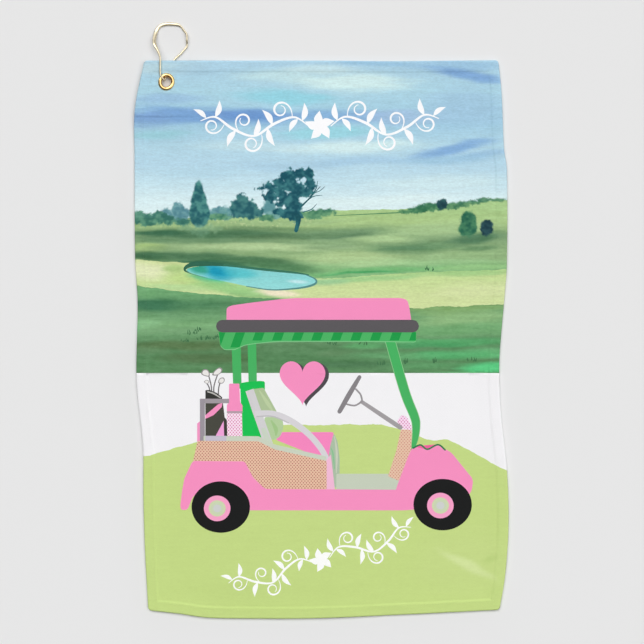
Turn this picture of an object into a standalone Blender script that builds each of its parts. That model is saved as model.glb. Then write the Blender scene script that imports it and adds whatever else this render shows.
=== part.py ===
"""A printed golf towel, 16 by 24 inches, with a brass grommet and a gold wire clip.

The towel lies flat, face up. X runs across it, Y up towards the clip, and Z out of the printed face.
The origin is the bottom centre of the whole object's box. All lengths are in metres.
"""

import math

import bmesh
import bpy
from mathutils import Matrix, Vector

# Cloth: the nominal sheet, and where its rectangle lies in the object's frame.
WIDTH = 0.409
LENGTH = 0.610
LEFT = -0.2045
TOP = 0.2840
CLOTH = 0.0017
HEM_CLOTH = 0.0012
HEM_WIDTH = 0.0110
HEM_SLOPE = 0.0025
GAP = 0.0003

# How far each edge lies inside the nominal rectangle, as (share of the way along it, metres in).
# The side edges run from the top down, and the end edges from left to right.
LEFT_INSET = (
    (0.00, 0.0114),
    (0.09, 0.0009),
    (0.18, 0.0006),
    (0.36, 0.0012),
    (0.44, 0.0039),
    (0.56, 0.0025),
    (0.61, 0.0038),
    (0.70, 0.0096),
    (0.80, 0.0103),
    (0.90, 0.0122),
    (1.00, 0.0155),
)
RIGHT_INSET = (
    (0.00, 0.0112),
    (0.06, 0.0076),
    (0.16, 0.0049),
    (0.20, 0.0018),
    (0.37, 0.0018),
    (0.44, 0.0048),
    (0.55, 0.0100),
    (0.64, 0.0082),
    (0.75, 0.0015),
    (0.85, 0.0000),
    (0.94, 0.0038),
    (1.00, 0.0099),
)
TOP_INSET = ((0.0, 0.0007), (0.5, 0.0005), (0.7, 0.0011), (1.0, 0.0000))
BOTTOM_INSET = (
    (0.00, 0.0091),
    (0.09, 0.0052),
    (0.17, 0.0010),
    (0.28, 0.0001),
    (0.47, 0.0003),
    (0.70, 0.0039),
    (1.00, 0.0096),
)

# Seams: lockstitch thread, and its distance in from the edge.
THREAD_RADIUS = 0.0002
STITCH_INSET = 0.0095
THREAD_STOP = 0.0030
FLOOR_CLEARANCE = 0.00005

# Grommet in the top left corner. Setting the rim presses it slightly oval.
GROMMET = Vector((-0.1690, 0.2600, 0.0))
BORE_RADIUS = 0.0052
BARREL_WALL = 0.0005
FLANGE_RADIUS = 0.0096
FLANGE_HEIGHT = 0.0015
WASHER = 0.0008
OVAL = 0.93
OVAL_TURN = math.radians(-17.0)
ROUND_STEPS = 48

# Clip: one sprung wire through the grommet, with an arm in front of the cloth and one behind it.
WIRE_RADIUS = 0.0010
BOW_HALF_WIDTH = 0.0019
BOW_HALF_HEIGHT = 0.0009
WIRE_SIDES = 10
WIRE_STEPS = 3

# Heights that follow from the stack: rear arm, washer, cloth, rim, front arm.
REAR_ARM_Z = WIRE_RADIUS
WASHER_LOW = 2 * WIRE_RADIUS + GAP
CORNER_LIFT = WASHER_LOW + WASHER + GAP
THREAD_STACK = 2 * THREAD_RADIUS + GAP
HEM_RISE = FLOOR_CLEARANCE + THREAD_STACK + HEM_CLOTH + GAP
CORNER_HEM_RISE = 2 * WIRE_RADIUS + GAP + THREAD_STACK + HEM_CLOTH + GAP - CORNER_LIFT
FRONT_ARM_Z = CORNER_LIFT + CORNER_HEM_RISE + CLOTH + GAP + THREAD_STACK + WIRE_RADIUS
TIP_Z = 3 * WIRE_RADIUS + GAP

# The corner is lifted off the surface out to LIFT_NEAR from the grommet, and lies flat from LIFT_FAR.
LIFT_NEAR = 0.040
LIFT_FAR = 0.080
# The front arm comes down to the surface between these distances from the grommet.
ARM_DOWN_NEAR = 0.038
ARM_DOWN_FAR = 0.060

# The wire's route seen from the front, from the grommet's centre: x, y, and how flattened it is.
POST = (-0.0023, 0.0018)
FRONT_ROUTE = (
    (-0.0058, 0.0060, 0.0),
    (-0.0066, 0.0110, 0.0),
    (-0.0066, 0.0240, 0.0),
    (-0.0072, 0.0285, 0.2),
    (-0.0095, 0.0345, 0.6),
    (-0.0124, 0.0405, 1.0),
    (-0.0132, 0.0467, 1.0),
    (-0.0112, 0.0556, 1.0),
    (-0.0072, 0.0613, 0.8),
    (0.0000, 0.0636, 0.9),
    (0.0070, 0.0634, 0.9),
    (0.0122, 0.0628, 0.6),
    (0.0155, 0.0610, 0.1),
    (0.0186, 0.0570, 0.0),
    (0.0213, 0.0532, 0.0),
    (0.0221, 0.0504, 0.0),
)
REAR_ROUTE = (
    (0.0000, 0.0080),
    (0.0040, 0.0170),
    (0.0090, 0.0250),
    (0.0154, 0.0310),
    (0.0190, 0.0352),
    (0.0217, 0.0382),
    (0.0222, 0.0402),
    (0.0223, 0.0416),
)
TIP_ROUTE = ((0.0223, 0.0450), (0.0222, 0.0500), (0.0215, 0.0530), (0.0208, 0.0548))

COLOURS = {
    "print": ((0.45, 0.66, 0.55), 0.85, 0.0),
    "hem": ((0.86, 0.87, 0.86), 0.90, 0.0),
    "thread": ((0.90, 0.90, 0.88), 0.70, 0.0),
    "brass": ((0.83, 0.62, 0.27), 0.22, 1.0),
    "gold": ((0.90, 0.78, 0.52), 0.25, 1.0),
}


def material(name):
    """The finish of one kind of piece."""
    colour, roughness, metallic = COLOURS[name]
    made = bpy.data.materials.get(name) or bpy.data.materials.new(name)
    made.use_nodes = True
    shader = made.node_tree.nodes["Principled BSDF"]
    shader.inputs["Base Color"].default_value = (*colour, 1.0)
    shader.inputs["Roughness"].default_value = roughness
    shader.inputs["Metallic"].default_value = metallic
    return made


def add_object(name, bm, finish, location=(0.0, 0.0, 0.0)):
    """A new object from a bmesh given in world coordinates, with its origin at location."""
    bmesh.ops.recalc_face_normals(bm, faces=bm.faces)
    bmesh.ops.translate(bm, vec=-Vector(location), verts=bm.verts)
    mesh = bpy.data.meshes.new(name)
    bm.to_mesh(mesh)
    bm.free()
    mesh.materials.append(material(finish))
    made = bpy.data.objects.new(name, mesh)
    made.location = location
    bpy.context.collection.objects.link(made)
    return made


def smoothstep(low, high, value):
    share = min(max((value - low) / (high - low), 0.0), 1.0)
    return share * share * (3.0 - 2.0 * share)


def edge_value(points, at):
    """A smooth value between points of (place, value), by Hermite curves with Catmull-Rom slopes."""
    last = len(points) - 1
    i = max(k for k in range(last) if points[k][0] <= at or k == 0)
    (x0, y0), (x1, y1) = points[i], points[i + 1]

    def slope(k):
        a, b = points[max(k - 1, 0)], points[min(k + 1, last)]
        return (b[1] - a[1]) / (b[0] - a[0])

    span = x1 - x0
    t = (at - x0) / span
    return (
        (2 * t**3 - 3 * t**2 + 1) * y0
        + (t**3 - 2 * t**2 + t) * span * slope(i)
        + (3 * t**2 - 2 * t**3) * y1
        + (t**3 - t**2) * span * slope(i + 1)
    )


def place(across, down):
    """Where a point of the sheet lies, from its nominal distances from the left and top edges."""
    u, v = across / WIDTH, down / LENGTH
    left = LEFT + edge_value(LEFT_INSET, v)
    right = LEFT + WIDTH - edge_value(RIGHT_INSET, v)
    top = TOP - edge_value(TOP_INSET, u)
    bottom = TOP - LENGTH + edge_value(BOTTOM_INSET, u)
    return left + (right - left) * u, top + (bottom - top) * v


def underside(across, down):
    """Height of the cloth's underside: raised over its hems, and at the clip's corner."""
    x, y = place(across, down)
    reach = math.hypot(x - GROMMET.x, y - GROMMET.y)
    lifted = 1.0 - smoothstep(LIFT_NEAR, LIFT_FAR, reach)
    edge = min(across, down, WIDTH - across, LENGTH - down)
    on_hem = 1.0 - smoothstep(HEM_WIDTH, HEM_WIDTH + HEM_SLOPE, edge)
    rise = HEM_RISE + (CORNER_HEM_RISE - HEM_RISE) * lifted
    return CORNER_LIFT * lifted + rise * on_hem


def grid_lines(size, corner_steps, far_steps):
    """Distances of the sheet's grid lines from its left or top edge, finer at the clip's corner."""
    inner = HEM_WIDTH + HEM_SLOPE
    near = [inner + 0.0115 * i for i in range(corner_steps + 1)]
    stop = size - inner
    step = (stop - near[-1]) / far_steps
    far = [near[-1] + step * (i + 1) for i in range(far_steps)]
    return [0.0, HEM_WIDTH, *near, *far, size - HEM_WIDTH, size]


ACROSS = grid_lines(WIDTH, 6, 9)
DOWN = grid_lines(LENGTH, 6, 13)


def slab(name, across, down, low, thickness, finish):
    """A closed slab on a grid of the sheet: its underside at low, extruded straight up."""
    bm = bmesh.new()
    rows = [
        [bm.verts.new((*place(a, d), low(a, d))) for a in across]
        for d in down
    ]
    for upper, lower in zip(rows, rows[1:]):
        for i in range(len(across) - 1):
            bm.faces.new((upper[i], upper[i + 1], lower[i + 1], lower[i]))
    raised = bmesh.ops.extrude_face_region(bm, geom=bm.faces[:])["geom"]
    points = [v for v in raised if isinstance(v, bmesh.types.BMVert)]
    bmesh.ops.translate(bm, vec=(0.0, 0.0, thickness), verts=points)
    return add_object(name, bm, finish)


def cylinder_cutter(name, radius, centre, low, high):
    """A wire-shown cylinder that only cuts holes."""
    bm = bmesh.new()
    bmesh.ops.create_cone(
        bm,
        cap_ends=True,
        segments=ROUND_STEPS,
        radius1=radius,
        radius2=radius,
        depth=high - low,
        matrix=Matrix.Translation((centre.x, centre.y, (low + high) / 2)),
    )
    cutter = add_object(name, bm, "brass")
    cutter.hide_render = True
    cutter.display_type = "WIRE"
    return cutter


def make_panel():
    """The towel's own cloth, with the hole that the grommet is set in."""
    panel = slab("towel_panel", ACROSS, DOWN, underside, CLOTH, "print")
    hole = cylinder_cutter(
        "grommet_hole_cutter",
        BORE_RADIUS + BARREL_WALL + GAP,
        GROMMET,
        CORNER_LIFT - CLOTH,
        CORNER_LIFT + 2 * CLOTH,
    )
    cut = panel.modifiers.new("grommet_hole", "BOOLEAN")
    cut.operation = "DIFFERENCE"
    cut.solver = "EXACT"
    cut.object = hole


def make_hems():
    """The margins of the cloth, turned under its four sides. The side hems run the full length."""
    width = HEM_WIDTH - 0.0004

    def low(across, down):
        return underside(across, down) - GAP - HEM_CLOTH

    inside = [a for a in ACROSS if HEM_WIDTH < a < WIDTH - HEM_WIDTH]
    between = [width + GAP, *inside, WIDTH - width - GAP]
    sides = {
        "hem_left": ([0.0, width], DOWN),
        "hem_right": ([WIDTH - width, WIDTH], DOWN),
        "hem_top": (between, [0.0, width]),
        "hem_bottom": (between, [LENGTH - width, LENGTH]),
    }
    for name, (across, down) in sides.items():
        slab(name, across, down, low, HEM_CLOTH, "hem")


def add_thread(name, points):
    """One thread of a seam: a thin tube along its line."""
    curve = bpy.data.curves.new(name, "CURVE")
    curve.dimensions = "3D"
    curve.bevel_depth = THREAD_RADIUS
    curve.bevel_resolution = 1
    curve.use_fill_caps = True
    line = curve.splines.new("POLY")
    line.points.add(len(points) - 1)
    for point, at in zip(line.points, points):
        point.co = (*at, 1.0)
    curve.materials.append(material("thread"))
    made = bpy.data.objects.new(name, curve)
    bpy.context.collection.objects.link(made)


def make_threads():
    """The lockstitch in each hem: a needle thread on the face and a bobbin thread on the back."""
    above = CLOTH + GAP + THREAD_RADIUS
    below = -(GAP + HEM_CLOTH + GAP + THREAD_RADIUS)

    def inner(lines, size, margin):
        return [margin, *[x for x in lines if margin < x < size - margin], size - margin]

    side_run = inner(DOWN, LENGTH, THREAD_STOP)
    end_run = inner(ACROSS, WIDTH, STITCH_INSET + THREAD_STACK)
    seams = {
        "left": [(STITCH_INSET, d) for d in side_run],
        "right": [(WIDTH - STITCH_INSET, d) for d in side_run],
        "top": [(a, STITCH_INSET) for a in end_run],
        "bottom": [(a, LENGTH - STITCH_INSET) for a in end_run],
    }
    for side, line in seams.items():
        for kind, offset in (("needle", above), ("bobbin", below)):
            points = [(*place(a, d), underside(a, d) + offset) for a, d in line]
            add_thread(f"{kind}_thread_{side}", points)


def turned(name, profile, finish):
    """A ring turned about the grommet's axis from a closed profile of (radius, height)."""
    bm = bmesh.new()
    ring = [bm.verts.new((radius, 0.0, height)) for radius, height in profile]
    edges = [bm.edges.new((a, b)) for a, b in zip(ring, ring[1:] + ring[:1])]
    bmesh.ops.spin(
        bm,
        geom=ring + edges,
        cent=(0.0, 0.0, 0.0),
        axis=(0.0, 0.0, 1.0),
        angle=math.tau,
        steps=ROUND_STEPS,
        use_merge=True,
    )
    turn = Matrix.Rotation(OVAL_TURN, 4, "Z")
    oval = turn @ Matrix.Diagonal((OVAL, 1.0, 1.0, 1.0)) @ turn.inverted()
    bmesh.ops.transform(bm, matrix=Matrix.Translation(GROMMET) @ oval, verts=bm.verts)
    return add_object(name, bm, finish, GROMMET)


def make_grommet():
    """The eyelet, whose barrel goes through the cloth under a rolled rim, and the washer behind."""
    cloth_top = CORNER_LIFT + CLOTH + GAP
    barrel = BORE_RADIUS + BARREL_WALL
    middle, half = (BORE_RADIUS + FLANGE_RADIUS) / 2, (FLANGE_RADIUS - BORE_RADIUS) / 2
    steps = 8
    crown = [
        (
            middle - half * math.cos(math.pi * i / steps),
            cloth_top + FLANGE_HEIGHT * math.sin(math.pi * i / steps),
        )
        for i in range(1, steps)
    ]
    eyelet = [
        (BORE_RADIUS, WASHER_LOW),
        (BORE_RADIUS, cloth_top),
        *crown,
        (FLANGE_RADIUS, cloth_top),
        (barrel, cloth_top),
        (barrel, WASHER_LOW),
    ]
    turned("grommet_eyelet", eyelet, "brass")
    hole, rim, top = barrel + GAP, FLANGE_RADIUS - 0.0004, WASHER_LOW + WASHER
    chamfer = WASHER / 2
    washer = [
        (hole, WASHER_LOW),
        (hole, top),
        (rim, top),
        (rim, WASHER_LOW + chamfer),
        (rim - chamfer, WASHER_LOW),
    ]
    turned("grommet_washer", washer, "brass")


def smooth_route(points, steps):
    """Points along a Catmull-Rom curve through points, which hold any number of values each."""
    route = []
    ends = [points[0], *points, points[-1]]
    for a, b, c, d in zip(ends, ends[1:], ends[2:], ends[3:]):
        for i in range(steps):
            t = i / steps
            route.append(
                tuple(
                    0.5
                    * (
                        2 * q
                        + (r - p) * t
                        + (2 * p - 5 * q + 4 * r - s) * t**2
                        + (3 * q - p - 3 * r + s) * t**3
                    )
                    for p, q, r, s in zip(a, b, c, d)
                )
            )
    route.append(points[-1])
    return route


def wire(name, route, location):
    """A closed wire along a route of (x, y, z, half width, half height) from the grommet."""
    centres = [GROMMET + Vector(point[:3]) for point in route]
    bm = bmesh.new()
    rings = []
    last = len(centres) - 1
    side = None
    for i in range(last, -1, -1):
        ahead = (centres[min(i + 1, last)] - centres[max(i - 1, 0)]).normalized()
        flat = side if side is not None else Vector((0.0, 0.0, 1.0)).cross(ahead)
        side = (flat - ahead * flat.dot(ahead)).normalized()
        up = ahead.cross(side)
        width, height = route[i][3], route[i][4]
        ring = []
        for k in range(WIRE_SIDES):
            angle = math.tau * k / WIRE_SIDES
            offset = side * (width * math.cos(angle)) + up * (height * math.sin(angle))
            ring.append(bm.verts.new(centres[i] + offset))
        rings.append(ring)
    for near, far in zip(rings, rings[1:]):
        for k in range(WIRE_SIDES):
            n = (k + 1) % WIRE_SIDES
            bm.faces.new((near[k], near[n], far[n], far[k]))
    bm.faces.new(rings[0])
    bm.faces.new(rings[-1])
    made = add_object(name, bm, "gold", location)
    made.data.shade_smooth()


def make_clip():
    """The clip's wire: its post, front arm and bow, and the rear arm that springs open as a gate."""
    x, y = POST
    low = 2 * WIRE_RADIUS + GAP
    bend = 0.0016
    section = (WIRE_RADIUS, WIRE_RADIUS)
    front = [
        (x, y, low, *section),
        (x, y, FRONT_ARM_Z - 2 * bend, *section),
        (x - 0.1 * bend, y + 0.1 * bend, FRONT_ARM_Z - 0.9 * bend, *section),
        (x - 0.5 * bend, y + 0.6 * bend, FRONT_ARM_Z - 0.1 * bend, *section),
    ]
    down = 0.0
    for along, up, flatness in FRONT_ROUTE:
        down = max(down, smoothstep(ARM_DOWN_NEAR, ARM_DOWN_FAR, math.hypot(along, up)))
        width = WIRE_RADIUS + (BOW_HALF_WIDTH - WIRE_RADIUS) * flatness
        height = WIRE_RADIUS + (BOW_HALF_HEIGHT - WIRE_RADIUS) * flatness
        z = FRONT_ARM_Z + (height - FRONT_ARM_Z) * down
        front.append((along, up, z, width, height))
    wire("clip_body", smooth_route(front, WIRE_STEPS), GROMMET)

    rear = [(x, y, REAR_ARM_Z, *section)]
    rear += [(along, up, REAR_ARM_Z, *section) for along, up in REAR_ROUTE]
    rear += [(along, up, TIP_Z, *section) for along, up in TIP_ROUTE]
    # The curve would dip below the surface just before it steps up to the tip.
    route = [(a, b, max(z, REAR_ARM_Z), *rest) for a, b, z, *rest in smooth_route(rear, WIRE_STEPS)]
    wire("clip_gate", route, GROMMET + Vector((x, y, 0.0)))


def main():
    for old in list(bpy.data.objects):
        bpy.data.objects.remove(old)
    make_panel()
    make_hems()
    make_threads()
    make_grommet()
    make_clip()


main()
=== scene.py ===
"""The looks of a printed golf towel laid flat, with a brass grommet and a gold wire clip.

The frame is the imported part's: metres, +Y towards the clip's end, +Z out of the printed face.
The print is drawn in millimetres and follows the real towel's picture closely: a watercolour course and a
cart. Two vines and a heart stand where its text was.
"""

import math

import bpy
import numpy as np
from mathutils import Matrix, Vector, geometry, kdtree


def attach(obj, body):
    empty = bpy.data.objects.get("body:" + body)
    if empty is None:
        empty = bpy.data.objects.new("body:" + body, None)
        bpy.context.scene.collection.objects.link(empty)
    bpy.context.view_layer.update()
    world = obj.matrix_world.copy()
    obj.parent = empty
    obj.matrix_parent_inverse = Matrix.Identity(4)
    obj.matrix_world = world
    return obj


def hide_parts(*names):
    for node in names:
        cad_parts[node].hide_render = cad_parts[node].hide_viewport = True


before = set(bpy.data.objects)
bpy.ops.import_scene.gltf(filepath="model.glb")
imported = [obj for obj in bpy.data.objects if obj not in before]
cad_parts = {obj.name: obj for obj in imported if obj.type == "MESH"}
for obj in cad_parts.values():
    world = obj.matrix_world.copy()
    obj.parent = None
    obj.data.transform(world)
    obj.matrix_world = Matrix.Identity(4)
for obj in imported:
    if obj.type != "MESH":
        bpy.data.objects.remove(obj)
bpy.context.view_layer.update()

# ---------------------------------------------------------------- the sheet, as the part has it

WIDTH = 0.409
LENGTH = 0.610
LEFT = -0.2045
TOP = 0.2840
CORNER = 0.0035
HEM = 0.0110
SEAM = 0.0095
STITCH = 0.0031

# How far each edge lies inside the nominal rectangle, as (share of the way along it, metres in).
LEFT_INSET = (
    (0.00, 0.0114), (0.09, 0.0009), (0.18, 0.0006), (0.36, 0.0012), (0.44, 0.0039), (0.56, 0.0025),
    (0.61, 0.0038), (0.70, 0.0096), (0.80, 0.0103), (0.90, 0.0122), (1.00, 0.0155),
)
RIGHT_INSET = (
    (0.00, 0.0112), (0.06, 0.0076), (0.16, 0.0049), (0.20, 0.0018), (0.37, 0.0018), (0.44, 0.0048),
    (0.55, 0.0100), (0.64, 0.0082), (0.75, 0.0015), (0.85, 0.0000), (0.94, 0.0038), (1.00, 0.0099),
)
TOP_INSET = ((0.0, 0.0007), (0.5, 0.0005), (0.7, 0.0011), (1.0, 0.0000))
BOTTOM_INSET = (
    (0.00, 0.0091), (0.09, 0.0052), (0.17, 0.0010), (0.28, 0.0001), (0.47, 0.0003), (0.70, 0.0039),
    (1.00, 0.0096),
)

# The cloth in section: one layer, the layer turned under at the hem, and the room under them. The face sags
# down to one layer at SAG_END from the edge, and the corner is lifted round the grommet.
CLOTH = 0.00155
HEM_CLOTH = 0.00125
FLOOR_CLEARANCE = 0.00005
SAG_END = 0.030
LIFT_NEAR = 0.040
LIFT_FAR = 0.080
CORNER_LIFT = 0.0034

# The grommet, and the clip's wire, whose post stands off the grommet's centre. Past ARM_DOWN_NEAR from it the
# front arm comes down, and past ARM_DOWN_FAR it lies on the floor.
GROMMET = Vector((-0.1690, 0.2600, 0.0))
BORE_RADIUS = 0.0055
BARREL_WALL = 0.0002
FLANGE_RADIUS = 0.0096
FLANGE_LOW = 0.00536
FLANGE_HEIGHT = 0.0016
WASHER_LOW = 0.0023
WASHER_TOP = 0.0031
HOLE_RADIUS = 0.0060
OVAL = 0.93
OVAL_TURN = math.radians(-17.0)
WIRE_RADIUS = 0.0010
WIRE_END = 0.0007
WIRE_BEND = 0.0016
BOW_HALF_WIDTH = 0.0019
BOW_HALF_HEIGHT = 0.0009
FRONT_ARM_Z = 0.0082
TIP_Z = 0.0033
ARM_DOWN_NEAR = 0.038
ARM_DOWN_FAR = 0.060
POST = (-0.0023, 0.0018)
# Seen from the front, from the grommet's centre: x, y, and how flattened the wire is.
FRONT_ROUTE = (
    (-0.0058, 0.0060, 0.0), (-0.0066, 0.0110, 0.0), (-0.0066, 0.0240, 0.0), (-0.0072, 0.0285, 0.2),
    (-0.0095, 0.0345, 0.6), (-0.0124, 0.0405, 1.0), (-0.0132, 0.0467, 1.0), (-0.0112, 0.0556, 1.0),
    (-0.0072, 0.0613, 0.8), (0.0000, 0.0636, 0.9), (0.0070, 0.0634, 0.9), (0.0122, 0.0628, 0.6),
    (0.0155, 0.0610, 0.1), (0.0186, 0.0570, 0.0), (0.0213, 0.0532, 0.0), (0.0221, 0.0504, 0.0),
)
# The arm behind, as x and y from the grommet's centre, and the tip that it ends in.
REAR_ROUTE = (
    (0.0000, 0.0080), (0.0040, 0.0170), (0.0090, 0.0250), (0.0154, 0.0310), (0.0190, 0.0352),
    (0.0217, 0.0382), (0.0222, 0.0402), (0.0223, 0.0416),
)
TIP_ROUTE = ((0.0223, 0.0450), (0.0222, 0.0500), (0.0215, 0.0530), (0.0208, 0.0548))


# ---------------------------------------------------------------- numbers


def smoothstep(low, high, value):
    share = np.clip((value - low) / (high - low), 0.0, 1.0)
    return share * share * (3.0 - 2.0 * share)


def edge_curve(points):
    """A smooth curve through points of (share, metres): Hermite curves with Catmull-Rom slopes."""
    at, value = np.array(points).T
    ahead = np.diff(value) / np.diff(at)
    middle = (value[2:] - value[:-2]) / (at[2:] - at[:-2])
    slope = np.concatenate([ahead[:1], middle, ahead[-1:]])

    def curve(share):
        share = np.clip(share, 0.0, 1.0)
        i = np.clip(np.searchsorted(at, share, side="right") - 1, 0, len(at) - 2)
        span = at[i + 1] - at[i]
        t = (share - at[i]) / span
        return (
            (2 * t**3 - 3 * t**2 + 1) * value[i]
            + (t**3 - 2 * t**2 + t) * span * slope[i]
            + (3 * t**2 - 2 * t**3) * value[i + 1]
            + (t**3 - t**2) * span * slope[i + 1]
        )

    return curve


left_inset, right_inset = edge_curve(LEFT_INSET), edge_curve(RIGHT_INSET)
top_inset, bottom_inset = edge_curve(TOP_INSET), edge_curve(BOTTOM_INSET)


def sides(u, v):
    """Where the sheet's left, right, top and bottom edges are, at shares u across and v down."""
    left, right = LEFT + left_inset(v), LEFT + WIDTH - right_inset(v)
    top, bottom = TOP - top_inset(u), TOP - LENGTH + bottom_inset(u)
    return left, right, top, bottom


def place(across, down):
    """Where points of the sheet lie, from their nominal distances from the left and top edges."""
    u, v = across / WIDTH, down / LENGTH
    left, right, top, bottom = sides(u, v)
    return left + (right - left) * u, top + (bottom - top) * v


def nominal(x, y):
    """The reverse of place, found by going round a few times."""
    u, v = (x - LEFT) / WIDTH, (TOP - y) / LENGTH
    for _ in range(9):
        left, right, top, bottom = sides(u, v)
        u, v = (x - left) / (right - left), (y - top) / (bottom - top)
    return u * WIDTH, v * LENGTH


def inside(across, down):
    """How far points lie inside the sheet's outline, whose corners are rounded."""
    x = np.abs(across - WIDTH / 2) - (WIDTH / 2 - CORNER)
    y = np.abs(down - LENGTH / 2) - (LENGTH / 2 - CORNER)
    return CORNER - np.hypot(np.maximum(x, 0), np.maximum(y, 0)) - np.minimum(np.maximum(x, y), 0)


# The noise repeats after this many cells.
LATTICE = 97


def from_grommet(x, y):
    """How far points are from the grommet's centre."""
    return np.hypot(x - GROMMET.x, y - GROMMET.y)


def noise(x, y, size_x, size_y, seed, octaves=3):
    """Smooth noise, mostly from -1 to 1, with features of the given sizes and finer ones on them."""
    lattice = np.random.default_rng(seed).uniform(-1.0, 1.0, (LATTICE, LATTICE))
    total, weight = 0.0, 1.0
    for _ in range(octaves):
        gx, gy = np.asarray(x) / size_x + 40.0, np.asarray(y) / size_y + 40.0
        ix, iy = np.floor(gx).astype(int), np.floor(gy).astype(int)
        fx, fy = smoothstep(0, 1, gx - ix), smoothstep(0, 1, gy - iy)

        def corner(i, j):
            return lattice[(ix + i) % LATTICE, (iy + j) % LATTICE]

        near = corner(0, 0) * (1 - fx) + corner(1, 0) * fx
        far = corner(0, 1) * (1 - fx) + corner(1, 1) * fx
        total = total + weight * (near * (1 - fy) + far * fy)
        size_x, size_y, weight = size_x / 2.1, size_y / 2.1, weight * 0.5
    return total


def smooth_route(points, steps):
    """Points along a Catmull-Rom curve through points, which hold any number of values each."""
    points = np.array(points, float)
    ends = np.vstack([points[:1], points, points[-1:]])
    t = np.linspace(0, 1, steps, endpoint=False)[:, None]
    runs = []
    for a, b, c, d in zip(ends, ends[1:], ends[2:], ends[3:]):
        square, cube = 2 * a - 5 * b + 4 * c - d, 3 * b - a - 3 * c + d
        runs.append(0.5 * (2 * b + (c - a) * t + square * t**2 + cube * t**3))
    return np.vstack([*runs, points[-1:]])


def unit(vectors):
    """Vectors in rows, each made one long."""
    return vectors / np.linalg.norm(vectors, axis=1)[:, None]


def distances(line):
    """How far along a line each of its points is."""
    return np.concatenate([[0], np.cumsum(np.linalg.norm(np.diff(line, axis=0), axis=1))])


def values_at(stops, reach, values):
    """Each column of values, which belong to distances reach, read off at stops."""
    return np.stack([np.interp(stops, reach, column) for column in values.T], 1)


def turn_by(points, degrees):
    """Points turned anticlockwise about the origin."""
    c, d = math.cos(math.radians(degrees)), math.sin(math.radians(degrees))
    return points @ np.array([[c, d], [-d, c]])


# ---------------------------------------------------------------- shapes of the print, in millimetres


def smooth_loop(points, steps=6):
    """A closed smooth curve through points."""
    points = np.array(points, float)
    n = len(points)
    run = smooth_route(np.vstack([points, points, points]), steps)
    return run[n * steps : 2 * n * steps]


def cut_loop(points, radius=1.0, spacing=2.5):
    """A polygon with its corners rounded to about radius, and points along its sides."""
    points = np.array(points, float)
    loop = []
    for before, at, after in zip(np.roll(points, 1, 0), points, np.roll(points, -1, 0)):
        back, on = before - at, after - at
        r = min(radius, 0.45 * np.linalg.norm(back), 0.45 * np.linalg.norm(on))
        a, b = at + back / np.linalg.norm(back) * r, at + on / np.linalg.norm(on) * r
        loop += [(1 - t) ** 2 * a + 2 * t * (1 - t) * at + t * t * b for t in (0.0, 0.3, 0.7, 1.0)]
        side = np.linalg.norm(on) - 2 * r
        count = int(side // spacing)
        end = after - on / np.linalg.norm(on) * r
        loop += [b + (end - b) * (k + 1) / (count + 1) for k in range(count)]
    return np.array(loop)


def oval(x, y, rx, ry, count=40):
    angles = np.linspace(0, math.tau, count, endpoint=False)
    return np.stack([x + rx * np.cos(angles), y + ry * np.sin(angles)], 1)


def ribbon(points, widths, steps=8, round_ends=True):
    """A brush stroke: a smooth line through points, with its width at each, and round or flat ends."""
    line = smooth_route([(*p, w) for p, w in zip(points, widths)], steps)
    ahead = unit(np.gradient(line[:, :2], axis=0))
    side = np.stack([-ahead[:, 1], ahead[:, 0]], 1)
    across = side * line[:, 2:3] / 2

    def cap(i, way):
        """The points round an end, or its one tip where the stroke is thin."""
        half = line[i, 2] / 2
        turns = np.radians((-60, -30, 0, 30, 60)) if half > 0.9 else np.zeros(1)
        out = np.outer(np.cos(turns) * way, ahead[i]) - np.outer(np.sin(turns) * way, side[i])
        return line[i, :2] + half * out

    left, right = line[:, :2] + across, (line[:, :2] - across)[::-1]
    if not round_ends:
        return np.vstack([left, right])
    return np.vstack([cap(0, -1), left, cap(-1, 1), right])


def stroke(points, width):
    """A line of even width with round ends."""
    return ribbon(points, [width] * len(points))


def tendril(x, y, heading, turn, length, width):
    """A curl that winds in as it goes, thick in the middle: headings in degrees."""
    s = np.linspace(0, 1, 34)
    angle = np.radians(heading + turn * s**1.6)
    step = length / (len(s) - 1)
    path = np.cumsum(np.stack([np.cos(angle), np.sin(angle)], 1) * step, 0) + (x, y)
    return ribbon(path, 0.8 + (width - 0.8) * np.sin(math.pi * s) ** 1.3, 1)


def leaf(x, y, heading, length, width):
    """A pointed leaf from its foot at x, y."""
    s = np.linspace(0, 1, 13)
    half = width / 2 * np.sin(math.pi * s**0.8) ** 1.15
    bend = 0.10 * length * np.sin(math.pi * s)
    above, under = np.stack([s * length, bend + half], 1), np.stack([s * length, bend - half], 1)
    return turn_by(np.vstack([above, under[-2:0:-1]]), heading) + (x, y)


def vine(x, y, tilt, scale):
    """A mirrored vine with a five-petalled flower in its middle, leaves and curls."""
    loops = [leaf(0, 0, 90 + 72 * k, 17, 9.5) for k in range(5)]
    stem = [(12, 0), (28, 10), (50, 3), (72, -10), (95, -2), (114, 11), (130, 7)]
    half = [ribbon(stem, [1.0, 2.2, 3.0, 2.3, 2.9, 2.1, 0.9])]
    half += [leaf(*at) for at in LEAVES]
    half += [tendril(*curl) for curl in CURLS]
    loops += half + [loop[::-1] * (-1, 1) for loop in half]
    return [turn_by(loop * scale, tilt) + (x, y) for loop in loops]


# Foot x, y, heading, length, width.
LEAVES = (
    (19, 6, 96, 20, 6.6), (24, 8, -56, 17, 6.0), (52, 2, 56, 20, 6.6), (57, -2, -112, 21, 6.6),
    (72, -10.5, 104, 20, 6.6), (92, -4, -62, 20, 6.6), (114, 11, 104, 19, 6.2), (124, 10, 34, 17, 5.4),
)
# Foot x, y, heading, how far it turns, length, width.
CURLS = (
    (30, 9, 88, -430, 60, 2.4), (64, -7, -100, 430, 60, 2.4), (88, -6, 58, 420, 52, 2.2),
    (104, 4, -64, 430, 54, 2.2),
)


# ---------------------------------------------------------------- the painting

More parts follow.
